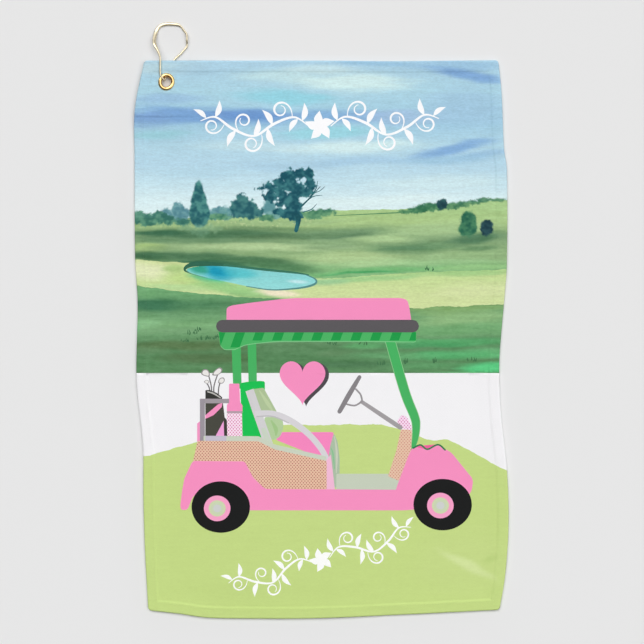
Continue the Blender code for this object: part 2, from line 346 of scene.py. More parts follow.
HORIZON = ((-215, 111), (-150, 112), (-90, 114), (0, 119.5), (90, 121.5), (140, 127), (215, 132))
FAIRWAY_TOP = (
    (-215, 66.5), (-150, 63), (-127, 61), (-89, 57), (-50, 51), (-24, 47.5), (0, 45.5), (30, 46.5),
    (64, 49.5), (130, 53), (215, 56),
)
FAIRWAY_LOW = ((-215, 40), (-154, 31), (-89, 25.5), (0, 21), (98, 12.5), (130, 15), (215, 17))
HILL_TOP = (
    (-215, -151), (-194, -148.5), (-137, -134), (-90, -122.5), (-42, -114), (15, -114), (52, -113.5),
    (80, -117), (104, -125.5), (120, -131.5), (137, -131), (154, -137.5), (174, -149), (201, -164),
    (215, -170),
)
PAINTING_LOW = -57.7
WHITE = (241, 240, 242)
GREEN = (194, 215, 133)

# Colours up each part: (height, red, green, blue).
SKY = (
    (110, 224, 240, 240), (132, 212, 234, 238), (150, 194, 223, 233), (170, 180, 213, 229),
    (190, 178, 213, 228), (215, 162, 203, 224), (250, 172, 211, 226), (284, 172, 207, 226),
)
FIELDS = (
    (45, 132, 182, 126), (60, 138, 184, 128), (67, 146, 180, 128), (74, 140, 172, 122),
    (81, 142, 174, 126), (88, 132, 164, 120), (94, 118, 152, 110), (101, 146, 177, 124),
    (107, 171, 200, 137), (125, 168, 201, 139),
)
FAIRWAY = ((12, 206, 220, 159), (30, 204, 219, 157), (45, 196, 217, 151), (66, 201, 215, 152))
NEAR = (
    (-58, 90, 136, 91), (-40, 88, 134, 90), (-27, 90, 133, 91), (-16, 110, 158, 110), (-5, 124, 172, 120),
    (6, 106, 154, 108), (17, 86, 136, 95), (28, 110, 164, 112),
)

# Soft strokes over them: x and y, half length, half height, tilt in degrees, colour, strength.
SKY_STROKES = (
    (-120, 223, 118, 10, -1, (116, 157, 208), 0.85),
    (-76, 224, 52, 6, 0, (104, 146, 204), 0.7),
    (14, 222, 60, 8, -2, (128, 170, 214), 0.75),
    (85, 221, 52, 9, 0, (160, 187, 220), 0.65),
    (-171, 276, 52, 8, 0, (190, 215, 220), 0.6),
    (-130, 274, 40, 7, 0, (168, 203, 222), 0.6),
    (-171, 240, 50, 7, 2, (152, 188, 220), 0.7),
    (-40, 243, 62, 9, -3, (140, 210, 224), 0.7),
    (10, 205, 62, 8, 2, (150, 214, 224), 0.7),
    (-30, 264, 74, 10, -4, (198, 228, 231), 0.8),
    (38, 260, 66, 12, -2, (212, 238, 237), 0.9),
    (-6, 275, 44, 6, 0, (206, 231, 234), 0.7),
    (36, 189, 84, 9, 3, (212, 236, 237), 0.9),
    (-80, 190, 66, 7, 0, (198, 224, 231), 0.6),
    (40, 173, 60, 5, 2, (163, 200, 225), 0.65),
    (53, 282, 50, 4, -3, (148, 190, 218), 0.7),
    (138, 279, 60, 8, 0, (146, 187, 218), 0.6),
    (156, 268, 48, 6.5, -11, (122, 163, 212), 0.85),
    (157, 232, 60, 24, 0, (160, 196, 221), 0.7),
    (144, 187, 48, 6.5, 12, (124, 166, 212), 0.85),
    (182, 181, 34, 4, 6, (148, 187, 219), 0.6),
    (130, 150, 80, 11, 3, (208, 232, 236), 0.7),
    (60, 131, 90, 8, 2, (220, 239, 239), 0.7),
    (-180, 203, 46, 6, 0, (156, 209, 219), 0.75),
    (-198, 220, 44, 9, 0, (124, 160, 206), 0.75),
    (-130, 163, 70, 7, 2, (178, 213, 228), 0.5),
    (-45, 169, 60, 6, 0, (168, 203, 223), 0.6),
    (140, 175, 60, 5.5, 2, (148, 190, 218), 0.6),
    (64, 198, 30, 5, 4, (166, 206, 224), 0.6),
)
FIELD_STROKES = (
    (-85, 107, 120, 4, 1, (146, 178, 130), 0.6),
    (-60, 100, 70, 4, 0, (104, 139, 98), 0.75),
    (-115, 93.5, 112, 6.0, 0, (74, 115, 82), 0.95),
    (-185, 95, 40, 3.5, 0, (60, 106, 78), 0.85),
    (-50, 91, 50, 4, 1, (86, 120, 84), 0.7),
    (22, 95, 60, 6, 2, (106, 142, 104), 0.75),
    (30, 92, 30, 3, 2, (92, 128, 96), 0.6),
    (128, 100, 90, 9, 4, (168, 198, 144), 0.85),
    (62, 88, 42, 5, 0, (174, 204, 148), 0.85),
    (-120, 87.5, 90, 3.0, -1, (108, 145, 106), 0.8),
    (-64, 80, 104, 4.4, -1, (177, 203, 151), 0.9),
    (-196, 80.5, 30, 5.5, 0, (172, 200, 128), 0.85),
    (-190, 70, 44, 6, -2, (60, 102, 70), 0.95),
    (-128, 69, 70, 6.5, -2, (76, 118, 84), 0.95),
    (-75, 65, 60, 6, -3, (76, 119, 82), 0.92),
    (-45, 59, 44, 5, -7, (80, 126, 86), 0.88),
    (-112, 61, 46, 3.8, -3, (54, 104, 76), 0.95),
    (28, 70, 66, 6.5, 0, (174, 201, 145), 0.92),
    (38, 64, 64, 4.5, 0, (175, 203, 147), 0.75),
    (104, 80, 70, 6.5, 4, (104, 144, 102), 0.92),
    (80, 77, 34, 3.5, 4, (86, 128, 92), 0.7),
    (170, 90, 34, 7, 8, (76, 118, 86), 0.92),
    (150, 71, 70, 4.5, 5, (154, 188, 135), 0.75),
    (100, 62, 100, 3.5, 1, (160, 201, 145), 0.65),
    (60, 54, 104, 3.4, 2, (118, 184, 119), 0.85),
    (45, 51.5, 52, 1.6, 1, (70, 160, 98), 0.9),
    (168, 57, 54, 4, 2, (148, 194, 130), 0.7),
    (-182, 87, 34, 3.0, 0, (98, 136, 98), 0.7),
    (-184, 79, 30, 3.6, 0, (130, 160, 114), 0.6),
    (-198, 72, 18, 3.8, 0, (64, 106, 74), 0.75),
    (2, 80, 32, 3.4, 0, (128, 160, 118), 0.65),
    (80, 73, 30, 3.6, 2, (112, 148, 104), 0.7),
    (176, 79, 24, 3.6, 4, (96, 136, 96), 0.7),
    (46, 60, 40, 3.4, 2, (180, 210, 154), 0.6),
)
FAIRWAY_STROKES = (
    (-196, 55, 44, 11, -4, (224, 230, 188), 0.9),
    (-148, 46, 36, 9, -6, (188, 215, 138), 0.85),
    (-128, 44.5, 24, 5, -12, (104, 190, 138), 0.95),
    (-104, 35, 44, 6, -8, (150, 202, 132), 0.85),
    (-74, 27, 40, 4, -6, (140, 188, 124), 0.75),
    (-52, 30, 25, 4.5, -4, (238, 228, 200), 0.95),
    (-165, 36, 42, 4, -4, (170, 209, 148), 0.6),
    (50, 45, 84, 3.6, 2, (158, 204, 140), 0.85),
    (0, 42, 26, 5, 0, (152, 200, 152), 0.7),
    (150, 51, 70, 4, 2, (168, 205, 138), 0.6),
    (176, 32, 62, 11, 2, (212, 223, 168), 0.75),
    (130, 52.5, 84, 4.6, 1, (158, 200, 132), 0.85),
    (-164, 57, 13, 6, -6, (166, 198, 126), 0.85),
    (-124, 45.5, 13, 2.8, -12, (74, 190, 160), 0.85),
)
NEAR_STROKES = (
    (-190, 17, 42, 7, -2, (60, 114, 82), 0.92),
    (-140, 16, 34, 5, 0, (82, 134, 94), 0.6),
    (-196, -3, 28, 6, 0, (140, 190, 140), 0.7),
    (-160, -13, 60, 5, 0, (126, 168, 124), 0.6),
    (-150, -29, 70, 6, 0, (90, 119, 77), 0.9),
    (-190, -34, 34, 4, 0, (104, 142, 100), 0.6),
    (-120, -41, 60, 6, 0, (84, 113, 74), 0.8),
    (-207, -20, 7, 22, 0, (110, 190, 128), 0.7),
    (160, 3, 66, 10, 3, (144, 184, 128), 0.9),
    (150, 14, 78, 7.5, 2, (134, 172, 110), 0.9),
    (150, -11, 76, 8, 2, (113, 167, 112), 0.8),
    (100, -24, 60, 4, 0, (98, 172, 110), 0.8),
    (150, -25, 60, 5, 2, (86, 164, 104), 0.85),
    (110, -29, 60, 3, 1, (74, 158, 98), 0.7),
    (190, -36, 40, 6, 0, (108, 180, 122), 0.8),
    (132, -40, 60, 5, 0, (86, 172, 108), 0.8),
    (184, -53, 40, 7, 2, (92, 200, 130), 1.0),
    (110, -50, 50, 5, 0, (94, 157, 103), 0.65),
    (-36, -42, 40, 8, 0, (84, 130, 86), 0.8),
    (14, -36, 26, 5, 0, (102, 140, 99), 0.7),
    (30, -49, 50, 5, 0, (74, 116, 80), 0.7),
    (44, -28, 26, 4.4, 0, (100, 174, 112), 0.8),
    (70, -39, 48, 4.4, 0, (104, 166, 112), 0.7),
    (158, -38, 50, 5, 0, (94, 180, 116), 0.7),
)
HILL_STROKES = (
    (160, -262, 66, 40, 0, (196, 215, 137), 0.7),
    (160, -268, 36, 5, -28, (214, 228, 166), 0.7),
    (-60, -300, 120, 22, 0, (190, 211, 129), 0.6),
    (186, -262, 12, 4, 20, (174, 200, 116), 0.4),
)
POND = ((30, 150, 218, 216), (62, 130, 206, 206))
POND_STROKES = (
    (-118, 53, 22, 9, -8, (22, 148, 180), 0.95),
    (-94, 52, 22, 7, -8, (74, 188, 198), 0.7),
    (-140, 56, 13, 5.6, -10, (54, 158, 134), 0.95),
    (-22, 42, 18, 2.4, -4, (204, 232, 236), 0.8),
)

# Trees and bushes from the back to the front: dark and light paint, the size of the leaves, how ragged, how
# soft and how strong; then the ovals that they fill, and any gaps in them.
FOLIAGE = (
    (
        ((74, 126, 138), (108, 158, 162), 4.0, 1.8, 1.2, 0.94),
        ((-157, 118, 7.5, 10.5), (-150, 115, 6, 9), (-168, 115, 7, 6), (-112, 117, 10, 7)),
    ),
    (
        ((74, 132, 138), (112, 164, 162), 3.4, 1.6, 1.4, 0.88),
        ((-57, 122, 7, 9), (-104, 117, 8, 7), (-48, 117, 8, 6), (-122, 114, 6, 5)),
    ),
    (
        ((50, 106, 94), (88, 144, 120), 3.2, 1.8, 1.0, 0.94),
        ((-199, 112, 9, 7), (-188, 109, 11, 7), (-176, 112, 8, 7), (-167, 109, 7, 6), (-152, 107, 9, 4)),
    ),
    (
        ((58, 116, 92), (104, 156, 116), 3.0, 1.4, 1.0, 0.92),
        ((2, 117.5, 12, 4), (-9, 115, 12, 5), (-60, 112, 10, 3.4), (-112, 113, 12, 3.4)),
    ),
    (
        ((30, 84, 94), (66, 124, 122), 3.4, 2.0, 0.9, 0.96),
        (
            (-92, 124, 7.5, 9), (-86, 129, 7.5, 8.5), (-77, 122, 8, 8.5), (-69, 117, 6, 5),
            (-90, 117, 9, 6), (-78, 116, 9, 6),
        ),
    ),
    (
        ((34, 90, 98), (74, 136, 130), 3.4, 0.6, 0.9, 0.97),
        ((-134, 141, 5.2, 11), (-133.5, 129, 8.6, 14), (-133, 117, 11.2, 16)),
    ),
    (
        ((112, 158, 128), (156, 192, 150), 5.0, 2.6, 3.0, 0.5),
        ((-133, 98.5, 13, 6), (-120, 100, 9, 4), (-146, 101, 7, 4)),
    ),
    (
        ((22, 76, 90), (60, 122, 126), 3.4, 2.5, 0.7, 0.97),
        (
            (-35, 157, 9, 8), (-24, 160, 6, 6), (-14, 159, 6, 6.5), (-12, 149, 6.5, 7), (-46, 150, 8, 6),
            (-57, 146, 7, 4.4), (-64, 144, 6, 2.6), (-33, 147, 12, 8), (-54, 135, 8, 6), (-43, 138, 8, 5),
            (-30, 136, 9, 6), (-17, 140, 7, 6), (-34, 127, 9, 5), (-33, 117, 14, 6.4), (-44, 118, 8, 5),
            (-24, 142, 8, 6), (-48, 142, 9, 5), (-38, 133, 9, 5), (-29, 114, 9, 7), (-27, 124, 7, 8),
            (-44, 129, 8, 5),
        ),
        (-24, 151, 2.0, 1.6),
        (-19, 132, 3.8, 1.8),
        (-50, 129.6, 3.4, 1.0),
    ),
    (
        ((44, 104, 74), (84, 138, 98), 2.6, 1.0, 0.7, 0.95),
        (
            (92, 118.4, 6, 2.2), (101, 120, 7, 3.4), (110, 121.8, 8, 4.4), (119, 123.6, 8, 4.8),
            (129, 124, 7, 3.6),
        ),
    ),
    (
        ((50, 106, 80), (96, 146, 104), 2.2, 1.0, 0.7, 0.9),
        (
            (143, 124.6, 9, 4), (154, 126.6, 9, 3.4), (165, 128.6, 8, 2.6), (176, 130.8, 6, 2.6),
            (190, 131.4, 12, 1.4),
        ),
    ),
    (
        ((26, 60, 70), (46, 88, 90), 2.6, 1.2, 0.7, 0.97),
        ((132, 126.6, 5.8, 6),),
    ),
    (
        ((34, 92, 74), (68, 126, 92), 3.0, 1.4, 1.2, 0.97),
        ((161, 108, 8.6, 11.6), (160, 100, 10.4, 8.8)),
    ),
    (
        ((24, 54, 66), (42, 78, 86), 2.6, 0.8, 0.8, 0.97),
        ((180.5, 101, 6.8, 8.8),),
    ),
)


def wash(x, y, ramp, strokes, seed, streak):
    """Watercolour at points in millimetres: a ramp of colours with soft ragged strokes over it."""
    streaky = streak * (noise(x, y, 24, 2.2, seed + 3) + 0.7 * noise(x, y, 5, 2.4, seed + 4))
    x, y = x + 7 * noise(x, y, 70, 40, seed + 1), y + 1.6 * noise(x, y, 60, 26, seed)
    ramp = np.array(ramp, float)
    colour = np.stack([np.interp(y, ramp[:, 0], ramp[:, k]) for k in (1, 2, 3)], 1)
    frayed = 0.15 * noise(x, y, 40, 3.2, seed + 2)
    for cx, cy, rx, ry, tilt, ink, strength in strokes:
        c, d = math.cos(math.radians(tilt)), math.sin(math.radians(tilt))
        along, over = (x - cx) * c + (y - cy) * d, (y - cy) * c - (x - cx) * d
        cover = strength * (1 - smoothstep(0.35, 1.25, np.hypot(along / rx, over / ry) + frayed))
        colour = colour + (np.array(ink) - colour) * cover[:, None]
    return np.clip(colour + streaky[:, None], 0, 255)


def oval_edge(x, y, at):
    """About how far points lie outside an oval of (x, y, half width, half height)."""
    return (np.hypot((x - at[0]) / at[2], (y - at[1]) / at[3]) - 1) * min(at[2:])


def grow(x, y, colour):
    """The trees and bushes, laid over a wash: clumps of soft ovals with leafy edges."""
    near = (y > 82) & (y < 176)
    x, y, under = x[near], y[near], colour[near]
    flecks = smoothstep(0.45, 0.8, noise(x, y, 2.4, 1.7, 77, 1)) * smoothstep(99, 104, y)
    flecks = flecks * (1 - smoothstep(111, 114, y)) * (1 - smoothstep(-20, 0, x))
    under = under + 0.5 * flecks[:, None] * (np.array((208, 216, 162)) - under)
    for seed, (paint, ovals, *gaps) in enumerate(FOLIAGE, 80):
        dark, light, grain, rough, soft, strength = paint
        leafy = rough * np.minimum(noise(x, y, grain, grain, seed), 0.55)
        edge = np.min([oval_edge(x, y, at) for at in ovals], 0) + leafy
        for at in gaps:
            edge = np.maximum(edge, -oval_edge(x, y, at) + 0.6 * leafy)
        cover = strength * (1 - smoothstep(-soft, soft, edge))
        mottle = noise(x, y, 7, 6, seed + 20) + 0.9 * noise(x, y, 2.8, 2.4, seed + 40, 1)
        share = smoothstep(-1.0, 1.1, mottle)
        ink = np.array(dark) + np.outer(share, np.subtract(light, dark))
        under = under + (ink - under) * cover[:, None]
    colour = colour.copy()
    colour[near] = under
    return colour


def bark(x, y):
    """The uneven dark paint of the trunk and branches."""
    share = smoothstep(-0.9, 1.1, noise(x, y, 7, 6, 71))
    return np.array((26, 76, 86)) + np.outer(share, (24, 40, 34))


def line_at(line, x):
    """The height of a line of points at each x."""
    return np.interp(x, *np.array(line, float).T)


# Past the sheet's sides and its lower end.
PRINT_SIDE = 214.0
PRINT_LOW = -345.0


def below(line, seed, wobble):
    """The loop of everything below a line."""
    x = np.arange(-PRINT_SIDE, PRINT_SIDE + 0.1, 1.6)
    route = smooth_route(line, 8)
    y = np.interp(x, route[:, 0], route[:, 1])
    y = y + wobble * noise(x, 0 * x, 22, 1, seed) + 0.35 * noise(x, 0 * x, 3.5, 1, seed + 1)
    return np.vstack([np.stack([x, y], 1), [(PRINT_SIDE, PRINT_LOW), (-PRINT_SIDE, PRINT_LOW)]])


WASHES = {
    "sky": lambda x, y: grow(x, y, wash(x, y, SKY, SKY_STROKES, 11, 2.2)),
    "fields": lambda x, y: grow(x, y, wash(x, y, FIELDS, FIELD_STROKES, 21, 5.0)),
    "fairway": lambda x, y: wash(x, y, FAIRWAY, FAIRWAY_STROKES, 31, 3.0),
    "near": lambda x, y: wash(x, y, NEAR, NEAR_STROKES, 41, 5.5),
    "hill": lambda x, y: wash(x, y, ((-330, *GREEN), (-110, *GREEN)), HILL_STROKES, 51, 0.8),
    "pond": lambda x, y: wash(x, y, POND, POND_STROKES, 61, 1.2),
    "bark": bark,
}


def ground(x, y):
    """The colour of the print at points, without its cart and its small shapes."""
    colour = WASHES["sky"](x, y)
    for line, name in ((HORIZON, "fields"), (FAIRWAY_TOP, "fairway"), (FAIRWAY_LOW, "near")):
        under = y < line_at(line, x)
        colour[under] = WASHES[name](x, y)[under]
    colour[y < PAINTING_LOW] = WHITE
    under = y < line_at(HILL_TOP, x)
    colour[under] = WASHES["hill"](x, y)[under]
    return colour


def landscape():
    """The painting's shapes from the back to the front, as (loop, wash or ink)."""
    shapes = [
        (below(HORIZON, 1, 0.5), "fields"),
        (below(FAIRWAY_TOP, 2, 0.4), "fairway"),
        (below(FAIRWAY_LOW, 3, 0.8), "near"),
        (ribbon([(14, 114.2), (50, 115.8), (89, 117.7)], [0.6, 1.1, 1.3]), (92, 142, 98)),
    ]
    shapes += [(ribbon(points, widths), "bark") for points, widths in BRANCHES]
    shapes += [(ribbon(points, widths), ink) for points, widths, ink in POND_BANK]
    shapes.append((smooth_loop(POND_WATER), "pond"))
    shapes += [(ribbon(points, widths), ink) for points, widths, ink in POND_LINE]
    rng = np.random.default_rng(7)
    for x, y, height in TUFTS:
        for _ in range(7):
            foot = np.array((x, y)) + rng.uniform(-1, 1, 2) * (5.0, 1.0)
            tip = foot + (rng.uniform(-1.5, 1.5), height * rng.uniform(0.4, 1.0))
            shapes.append((ribbon([foot, tip], [1.4, 0.5], 2), (68, 114, 76)))
    return shapes


# Each as its points and its widths, and the bank and the water's edge with their ink too.
BRANCHES = (
    (((-25.5, 113), (-25.3, 107), (-27.5, 98)), (6.0, 5.0, 4.2)),
    (((-22, 124), (-13, 133), (-1, 146)), (2.0, 1.4, 0.6)),
    (((-17, 129), (-9, 135), (1, 136.5)), (1.2, 1.0, 0.5)),
    (((-12, 135), (-6, 143), (-4, 152)), (1.2, 1.0, 0.5)),
    (((-20, 118), (-11, 121), (-5, 127)), (1.2, 1.0, 0.5)),
    (((-9, 139), (-2, 141), (4, 146)), (0.9, 0.8, 0.4)),
)
POND_BANK = (
    (
        ((-143, 51), (-149, 54.5), (-146.5, 58.6), (-137, 61.4), (-119, 61), (-98, 58.6)),
        (0.8, 2.2, 4.2, 5.4, 5.0, 3.0),
        (50, 102, 80),
    ),
    (((-106, 60), (-61, 54.6), (-30, 51.4), (-14, 49.4)), (2.4, 4.0, 3.2, 1.6), (60, 116, 92)),
)
POND_WATER = (
    (-147, 54.6), (-143, 57.2), (-130, 59), (-103, 58.6), (-61, 53.8), (-18.5, 49.6), (-7, 45.6),
    (-5.4, 42), (-10, 38.6), (-20, 35.8), (-38, 34), (-56.6, 33.6), (-82, 37.4), (-103, 41.8),
    (-124, 46.2), (-140, 50.8),
)
POND_LINE = (
    (
        ((-16, 49.2), (-8.4, 46), (-5.2, 42.6), (-8, 39), (-18, 36), (-34, 34), (-56, 33.2), (-82, 37)),
        (0.9, 1.4, 1.9, 2.3, 2.1, 1.7, 1.3, 0.8),
        (84, 140, 138),
    ),
    (((-124, 46), (-141, 50.4), (-147, 54)), (0.5, 0.9, 1.0), (96, 150, 128)),
)
# Foot x, y, height of a tuft's tallest blade.
TUFTS = (
    (-141, -15, 4.5), (-133, -11, 3.5), (-150, -23, 3.0), (-130, -21, 4.5), (-120, -20, 3.5),
    (-113, -19, 3.0), (12, -26, 3.5), (46, -26, 3.0), (66, -48, 4.5), (95, -47, 6.0), (121, -46, 5.5),
    (164, -44, 4.0), (119, 55, 4.0),
)

# ---------------------------------------------------------------- the cart

# The middle between its wheels, from which its own points are measured.
CART_AT = (11.4, -202.8)
PINK = (244, 144, 191)
FADED_PINK = (244, 160, 198)
GREY = (91, 88, 91)
FRAME_GREY = (208, 206, 208)
RATTAN = (229, 192, 165)
RATTAN_DOTS = (170, 88, 84)
POST_GREEN = (72, 176, 98)
SEAT_GREEN = (28, 190, 82)
STRIPE_DARK = (32, 154, 72)
STRIPE_LIGHT = (76, 178, 100)
OLIVE = (172, 192, 150)
TYRE = (27, 28, 28)
PALE_GREEN = (196, 205, 186)


def cart():
    """The cart's shapes from the back to the front, as (loop, ink) or (loop, ink, ink of its dots)."""
    back = [(-100, 134), (-92, 135.5), (-78, 136.5), (-73, 136), (-73, 127), (-76, 100), (-77, 74), (-98, 74)]
    rest = [(-112, 133.5), (-101, 133.5), (-100, 113), (-97.5, 110), (-97.5, 103)]
    rest += [(-114.5, 103), (-114.5, 110), (-112.5, 113)]
    pouch = [(-114.5, 101), (-98, 101), (-97.5, 76), (-114, 76)]
    shapes = [
        (cut_loop([(-109.5, 182), (-99.5, 182), (-98.4, 128), (-107.6, 128)], 0.5), POST_GREEN),
        (cut_loop([(-92, 182), (-82.6, 182), (-81.6, 128), (-90.6, 128)], 0.5), POST_GREEN),
        (cut_loop(back, 2), SEAT_GREEN),
        (cut_loop(rest, 1), PINK),
        (cut_loop(pouch, 0.6), (248, 222, 238), (206, 84, 148)),
        (cut_loop([(-114.5, 103.5), (-97.5, 103.5), (-97.5, 101), (-114.5, 101)], 0.6), (178, 156, 166)),
        (cut_loop([(-147, 90), (-143, 93), (-143, 70), (-147, 70)], 0.6), (240, 150, 195)),
    ]
    shapes += bag() + seats() + canopy() + bodywork() + controls()
    shapes += wheel(-121.2, -1.3, -125.1, -2.8) + wheel(121.2, 1.3, 118.7, 0.3)
    return shapes


def bag():
    """The golf bag in its frame, with four clubs."""
    shafts = [
        ((-131, 117), (-131.5, 130), (-134, 141)),
        ((-128.5, 117), (-128.5, 131), (-124, 145)),
        ((-124, 116), (-123.5, 128), (-121.5, 136)),
        ((-133, 117), (-133.5, 128), (-136.5, 134)),
    ]
    heads = [
        [(-142.5, 144), (-141, 148.4), (-136.5, 149.2), (-133.6, 146), (-133.5, 141.5), (-137.5, 141.5)],
        [(-130.6, 143), (-128, 147.6), (-122.6, 151.2), (-119.4, 149.2), (-121, 145), (-126, 142.4)],
        [(-124, 134.5), (-122.6, 138.8), (-118.4, 140.2), (-116.8, 137), (-119.4, 133.6)],
        [(-139.5, 135.5), (-136.5, 137.5), (-133.6, 135.6), (-136, 133.2)],
    ]
    parts = [(stroke(shaft, 1.3), (104, 100, 102)) for shaft in shafts]
    for head in heads:
        middle = np.mean(head, 0)
        parts.append((smooth_loop(head, 4), (146, 142, 142)))
        parts.append((smooth_loop((np.array(head) - middle) * 0.74 + middle, 4), (232, 229, 226)))
    hood = [(-138, 126.5), (-133, 126.5), (-125, 123), (-119.5, 118.5), (-120, 116), (-138, 116)]
    sash = [(-138, 99), (-124, 111), (-119.5, 112.5), (-120, 108), (-129, 99), (-138, 95)]
    parts += [
        (cut_loop(hood, 1), (54, 54, 52)),
        (ribbon([(-135.5, 124.6), (-129, 122.6), (-121.5, 118)], [1.4, 1.6, 1.0]), (190, 188, 184)),
        (cut_loop([(-138, 114), (-119, 114), (-117, 98), (-115.5, 76), (-138, 76)], 1), (72, 72, 64)),
        (cut_loop(sash, 0.6), (244, 146, 192)),
        (cut_loop([(-127, 76), (-119.5, 90), (-118, 93), (-117.5, 76)], 0.6), (238, 162, 214)),
        (cut_loop([(-117.5, 97), (-114.5, 94), (-114, 76), (-117.5, 76)], 0.8), (60, 60, 54)),
        (cut_loop([(-144, 117), (-112, 117), (-112, 112), (-144, 112)], 0.8), (160, 152, 158)),
        (cut_loop([(-144, 117), (-138.5, 117), (-138.5, 71), (-144, 71)], 0.8), (154, 146, 154)),
    ]
    return parts


def seats():
    """The seat, its light frame and its cushions."""
    arm = [(-84, 100.5), (-64, 100.5), (-45, 93), (-26, 79), (-12, 63), (-4, 48)]
    low_arm = [(-82, 97.5), (-64, 97.5), (-47, 90.5)]
    cushion = [(-74, 97), (-54, 97), (-52.5, 86), (-56, 76), (-64, 71), (-70, 78)]
    side = [(2.4, 79.5), (6.5, 70), (8.7, 52), (8.5, 34), (5, 19.5), (1.4, 21), (0.5, 40)]
    side += [(-3.5, 52), (-1.5, 66)]
    rail = [(-140, 76.5), (-80, 76), (-62, 67), (-6, 54), (-5, 47), (-64, 60), (-82, 69.5), (-140, 70)]
    return [
        (cut_loop([(-61, 72), (-57, 80.5), (2, 80.5), (2, 60), (-6, 50)], 2), (244, 136, 190)),
        (cut_loop(side, 2.5), (170, 190, 164)),
        (ribbon([(3, 76), (5.5, 58), (5, 36)], [0.6, 2.4, 1.0]), (198, 204, 186)),
        (ribbon([(-1, 64), (1.5, 56), (3, 40)], [0.8, 2.0, 0.8]), (140, 192, 148)),
        (cut_loop([(-86, 127.5), (-74.5, 129), (-59, 101), (-78, 101)], 1.5), OLIVE),
        (ribbon([(-79, 126), (-70, 112), (-64, 103)], [1.0, 4.0, 1.2]), (186, 204, 160)),
        (cut_loop(cushion, 3), (178, 204, 156)),
        (ribbon([(-66, 93), (-61, 84), (-61, 77)], [1.6, 4.4, 1.6]), (160, 196, 136)),
        (ribbon([(-89.8, 126.5), (-81, 101), (-67.5, 63)], [9.2, 9.4, 9.6], round_ends=False), FRAME_GREY),
        (ribbon([(-75, 85), (-67.5, 64)], [5.0, 8.0], round_ends=False), (200, 210, 194)),
        (ribbon(arm, [6.6, 6.6, 6.8, 6.6, 6.4, 6.0], round_ends=False), (213, 210, 214)),
        (ribbon(low_arm, [1.4, 1.6, 1.2]), (190, 188, 190)),
        (cut_loop(rail, 1.2), (200, 208, 190)),
        (cut_loop([(-138, 76.5), (-115, 76.5), (-115, 70), (-138, 70)], 0.6), (196, 190, 204)),
    ]


def canopy():
    """The roof over a dark rail, with its striped fringe."""
    fringe = [(-123.6, 190), (92.6, 190), (92.0, 179.3), (40, 180), (-57, 180), (-69, 179.2), (-84, 177.6)]
    fringe += [(-95, 176), (-106, 171), (-117.5, 171), (-121.8, 175.5)]
    border = np.array(fringe) + (0, -0.8)
    post = [(63.4, 182), (79.6, 125.4), (90.2, 98), (92.2, 88), (91.2, 73.5), (87.5, 60)]
    parts = [
        (ribbon(post, [11.6, 11.0, 10.2, 9.4, 7.4, 4.4], round_ends=False), (136, 196, 138)),
        (ribbon(post, [10.2, 9.6, 8.8, 8.0, 6.2, 3.4], round_ends=False), POST_GREEN),
        (cut_loop(border, 2), (128, 200, 140)),
        (cut_loop(fringe, 2), STRIPE_LIGHT),
    ]
    for k in range(11):
        x = -126.1 + 21.4 * k
        low = (175.2, 173.0)[k] if k < 2 else 180.6
        lean = (190 - low) * 0.36
        left, right = max(x, -123.4), min(x + 10.2, 92.2)
        low_left, low_right = max(x - lean, -121.6), min(x + 10.2 - lean, 92.0)
        stripe = [(left, 189.8), (right, 189.8), (low_right, low), (low_left, low)]
        parts.append((cut_loop(stripe, 0.3), STRIPE_DARK))
    roof = [(-114.9, 200), (-114.9, 216.4), (-109.0, 219), (-84, 222.4), (-57, 225.6), (-40, 227), (76, 227)]
    roof += [(82.6, 225), (84.8, 217), (87.4, 200)]
    parts.append((cut_loop(roof, 4), PINK))
    parts.append((stroke([(-119.5, 196.3), (88.5, 196.3)], 13.8), GREY))
    return parts


def bodywork():
    """The pink body, its rattan panels and its pale floor."""
    panel = [(-146.5, 71), (-80, 70.5), (-62, 61.5), (-5.5, 49), (-5.5, 18), (-73, 17), (-86, 29)]
    panel += [(-95, 46), (-152, 46.5)]
    rear = [(-152, 49), (-95, 48.5), (-86, 31), (-73, 18.5), (76, 17.5), (76, -5), (-92, -4.9), (-130, 12)]
    rear += [(-150, 12), (-153, 7), (-157.5, -4.5), (-164.6, -4.5), (-165.5, 0), (-163.5, 16), (-161, 30)]
    front = [(70, -5), (70, 18), (85, 58), (90, 65.5), (116, 67), (131, 58), (141, 45.5), (154.5, 29)]
    front += [(153, 16), (140, 0), (80, -4.9)]
    dash = [(75.6, 83.5), (87.6, 83), (87, 60), (74, 27), (61.5, 32.4), (70.5, 60)]
    cowl = [(71.2, 92.5), (76.5, 99.5), (82.5, 96.5), (88, 85), (86.5, 82.6), (77.5, 84.5)]
    return [
        (cut_loop([(5, 35), (70, 35), (74, 33), (74, 16), (5, 16)], 1), PALE_GREEN),
        (cut_loop([(-6, 50), (-1, 56), (3.5, 18), (-6, 16)], 0.8), (240, 184, 212)),
        (cut_loop(panel, 1.5), RATTAN, RATTAN_DOTS),
        (cut_loop(dash, 1.2), (228, 194, 168), (204, 130, 122)),
        (cut_loop(rear, 3), PINK),
        (cut_loop(front, 4), PINK),
        (cut_loop(cowl, 1.5), (246, 218, 238), (206, 96, 160)),
        (cut_loop([(90, 65), (118, 67.5), (104, 61.5)], 1), (238, 96, 156)),
        (stroke([(89, 63), (97, 66.5), (104.5, 61.8), (116, 66.8), (124, 61)], 1.8), (44, 122, 78)),
    ]


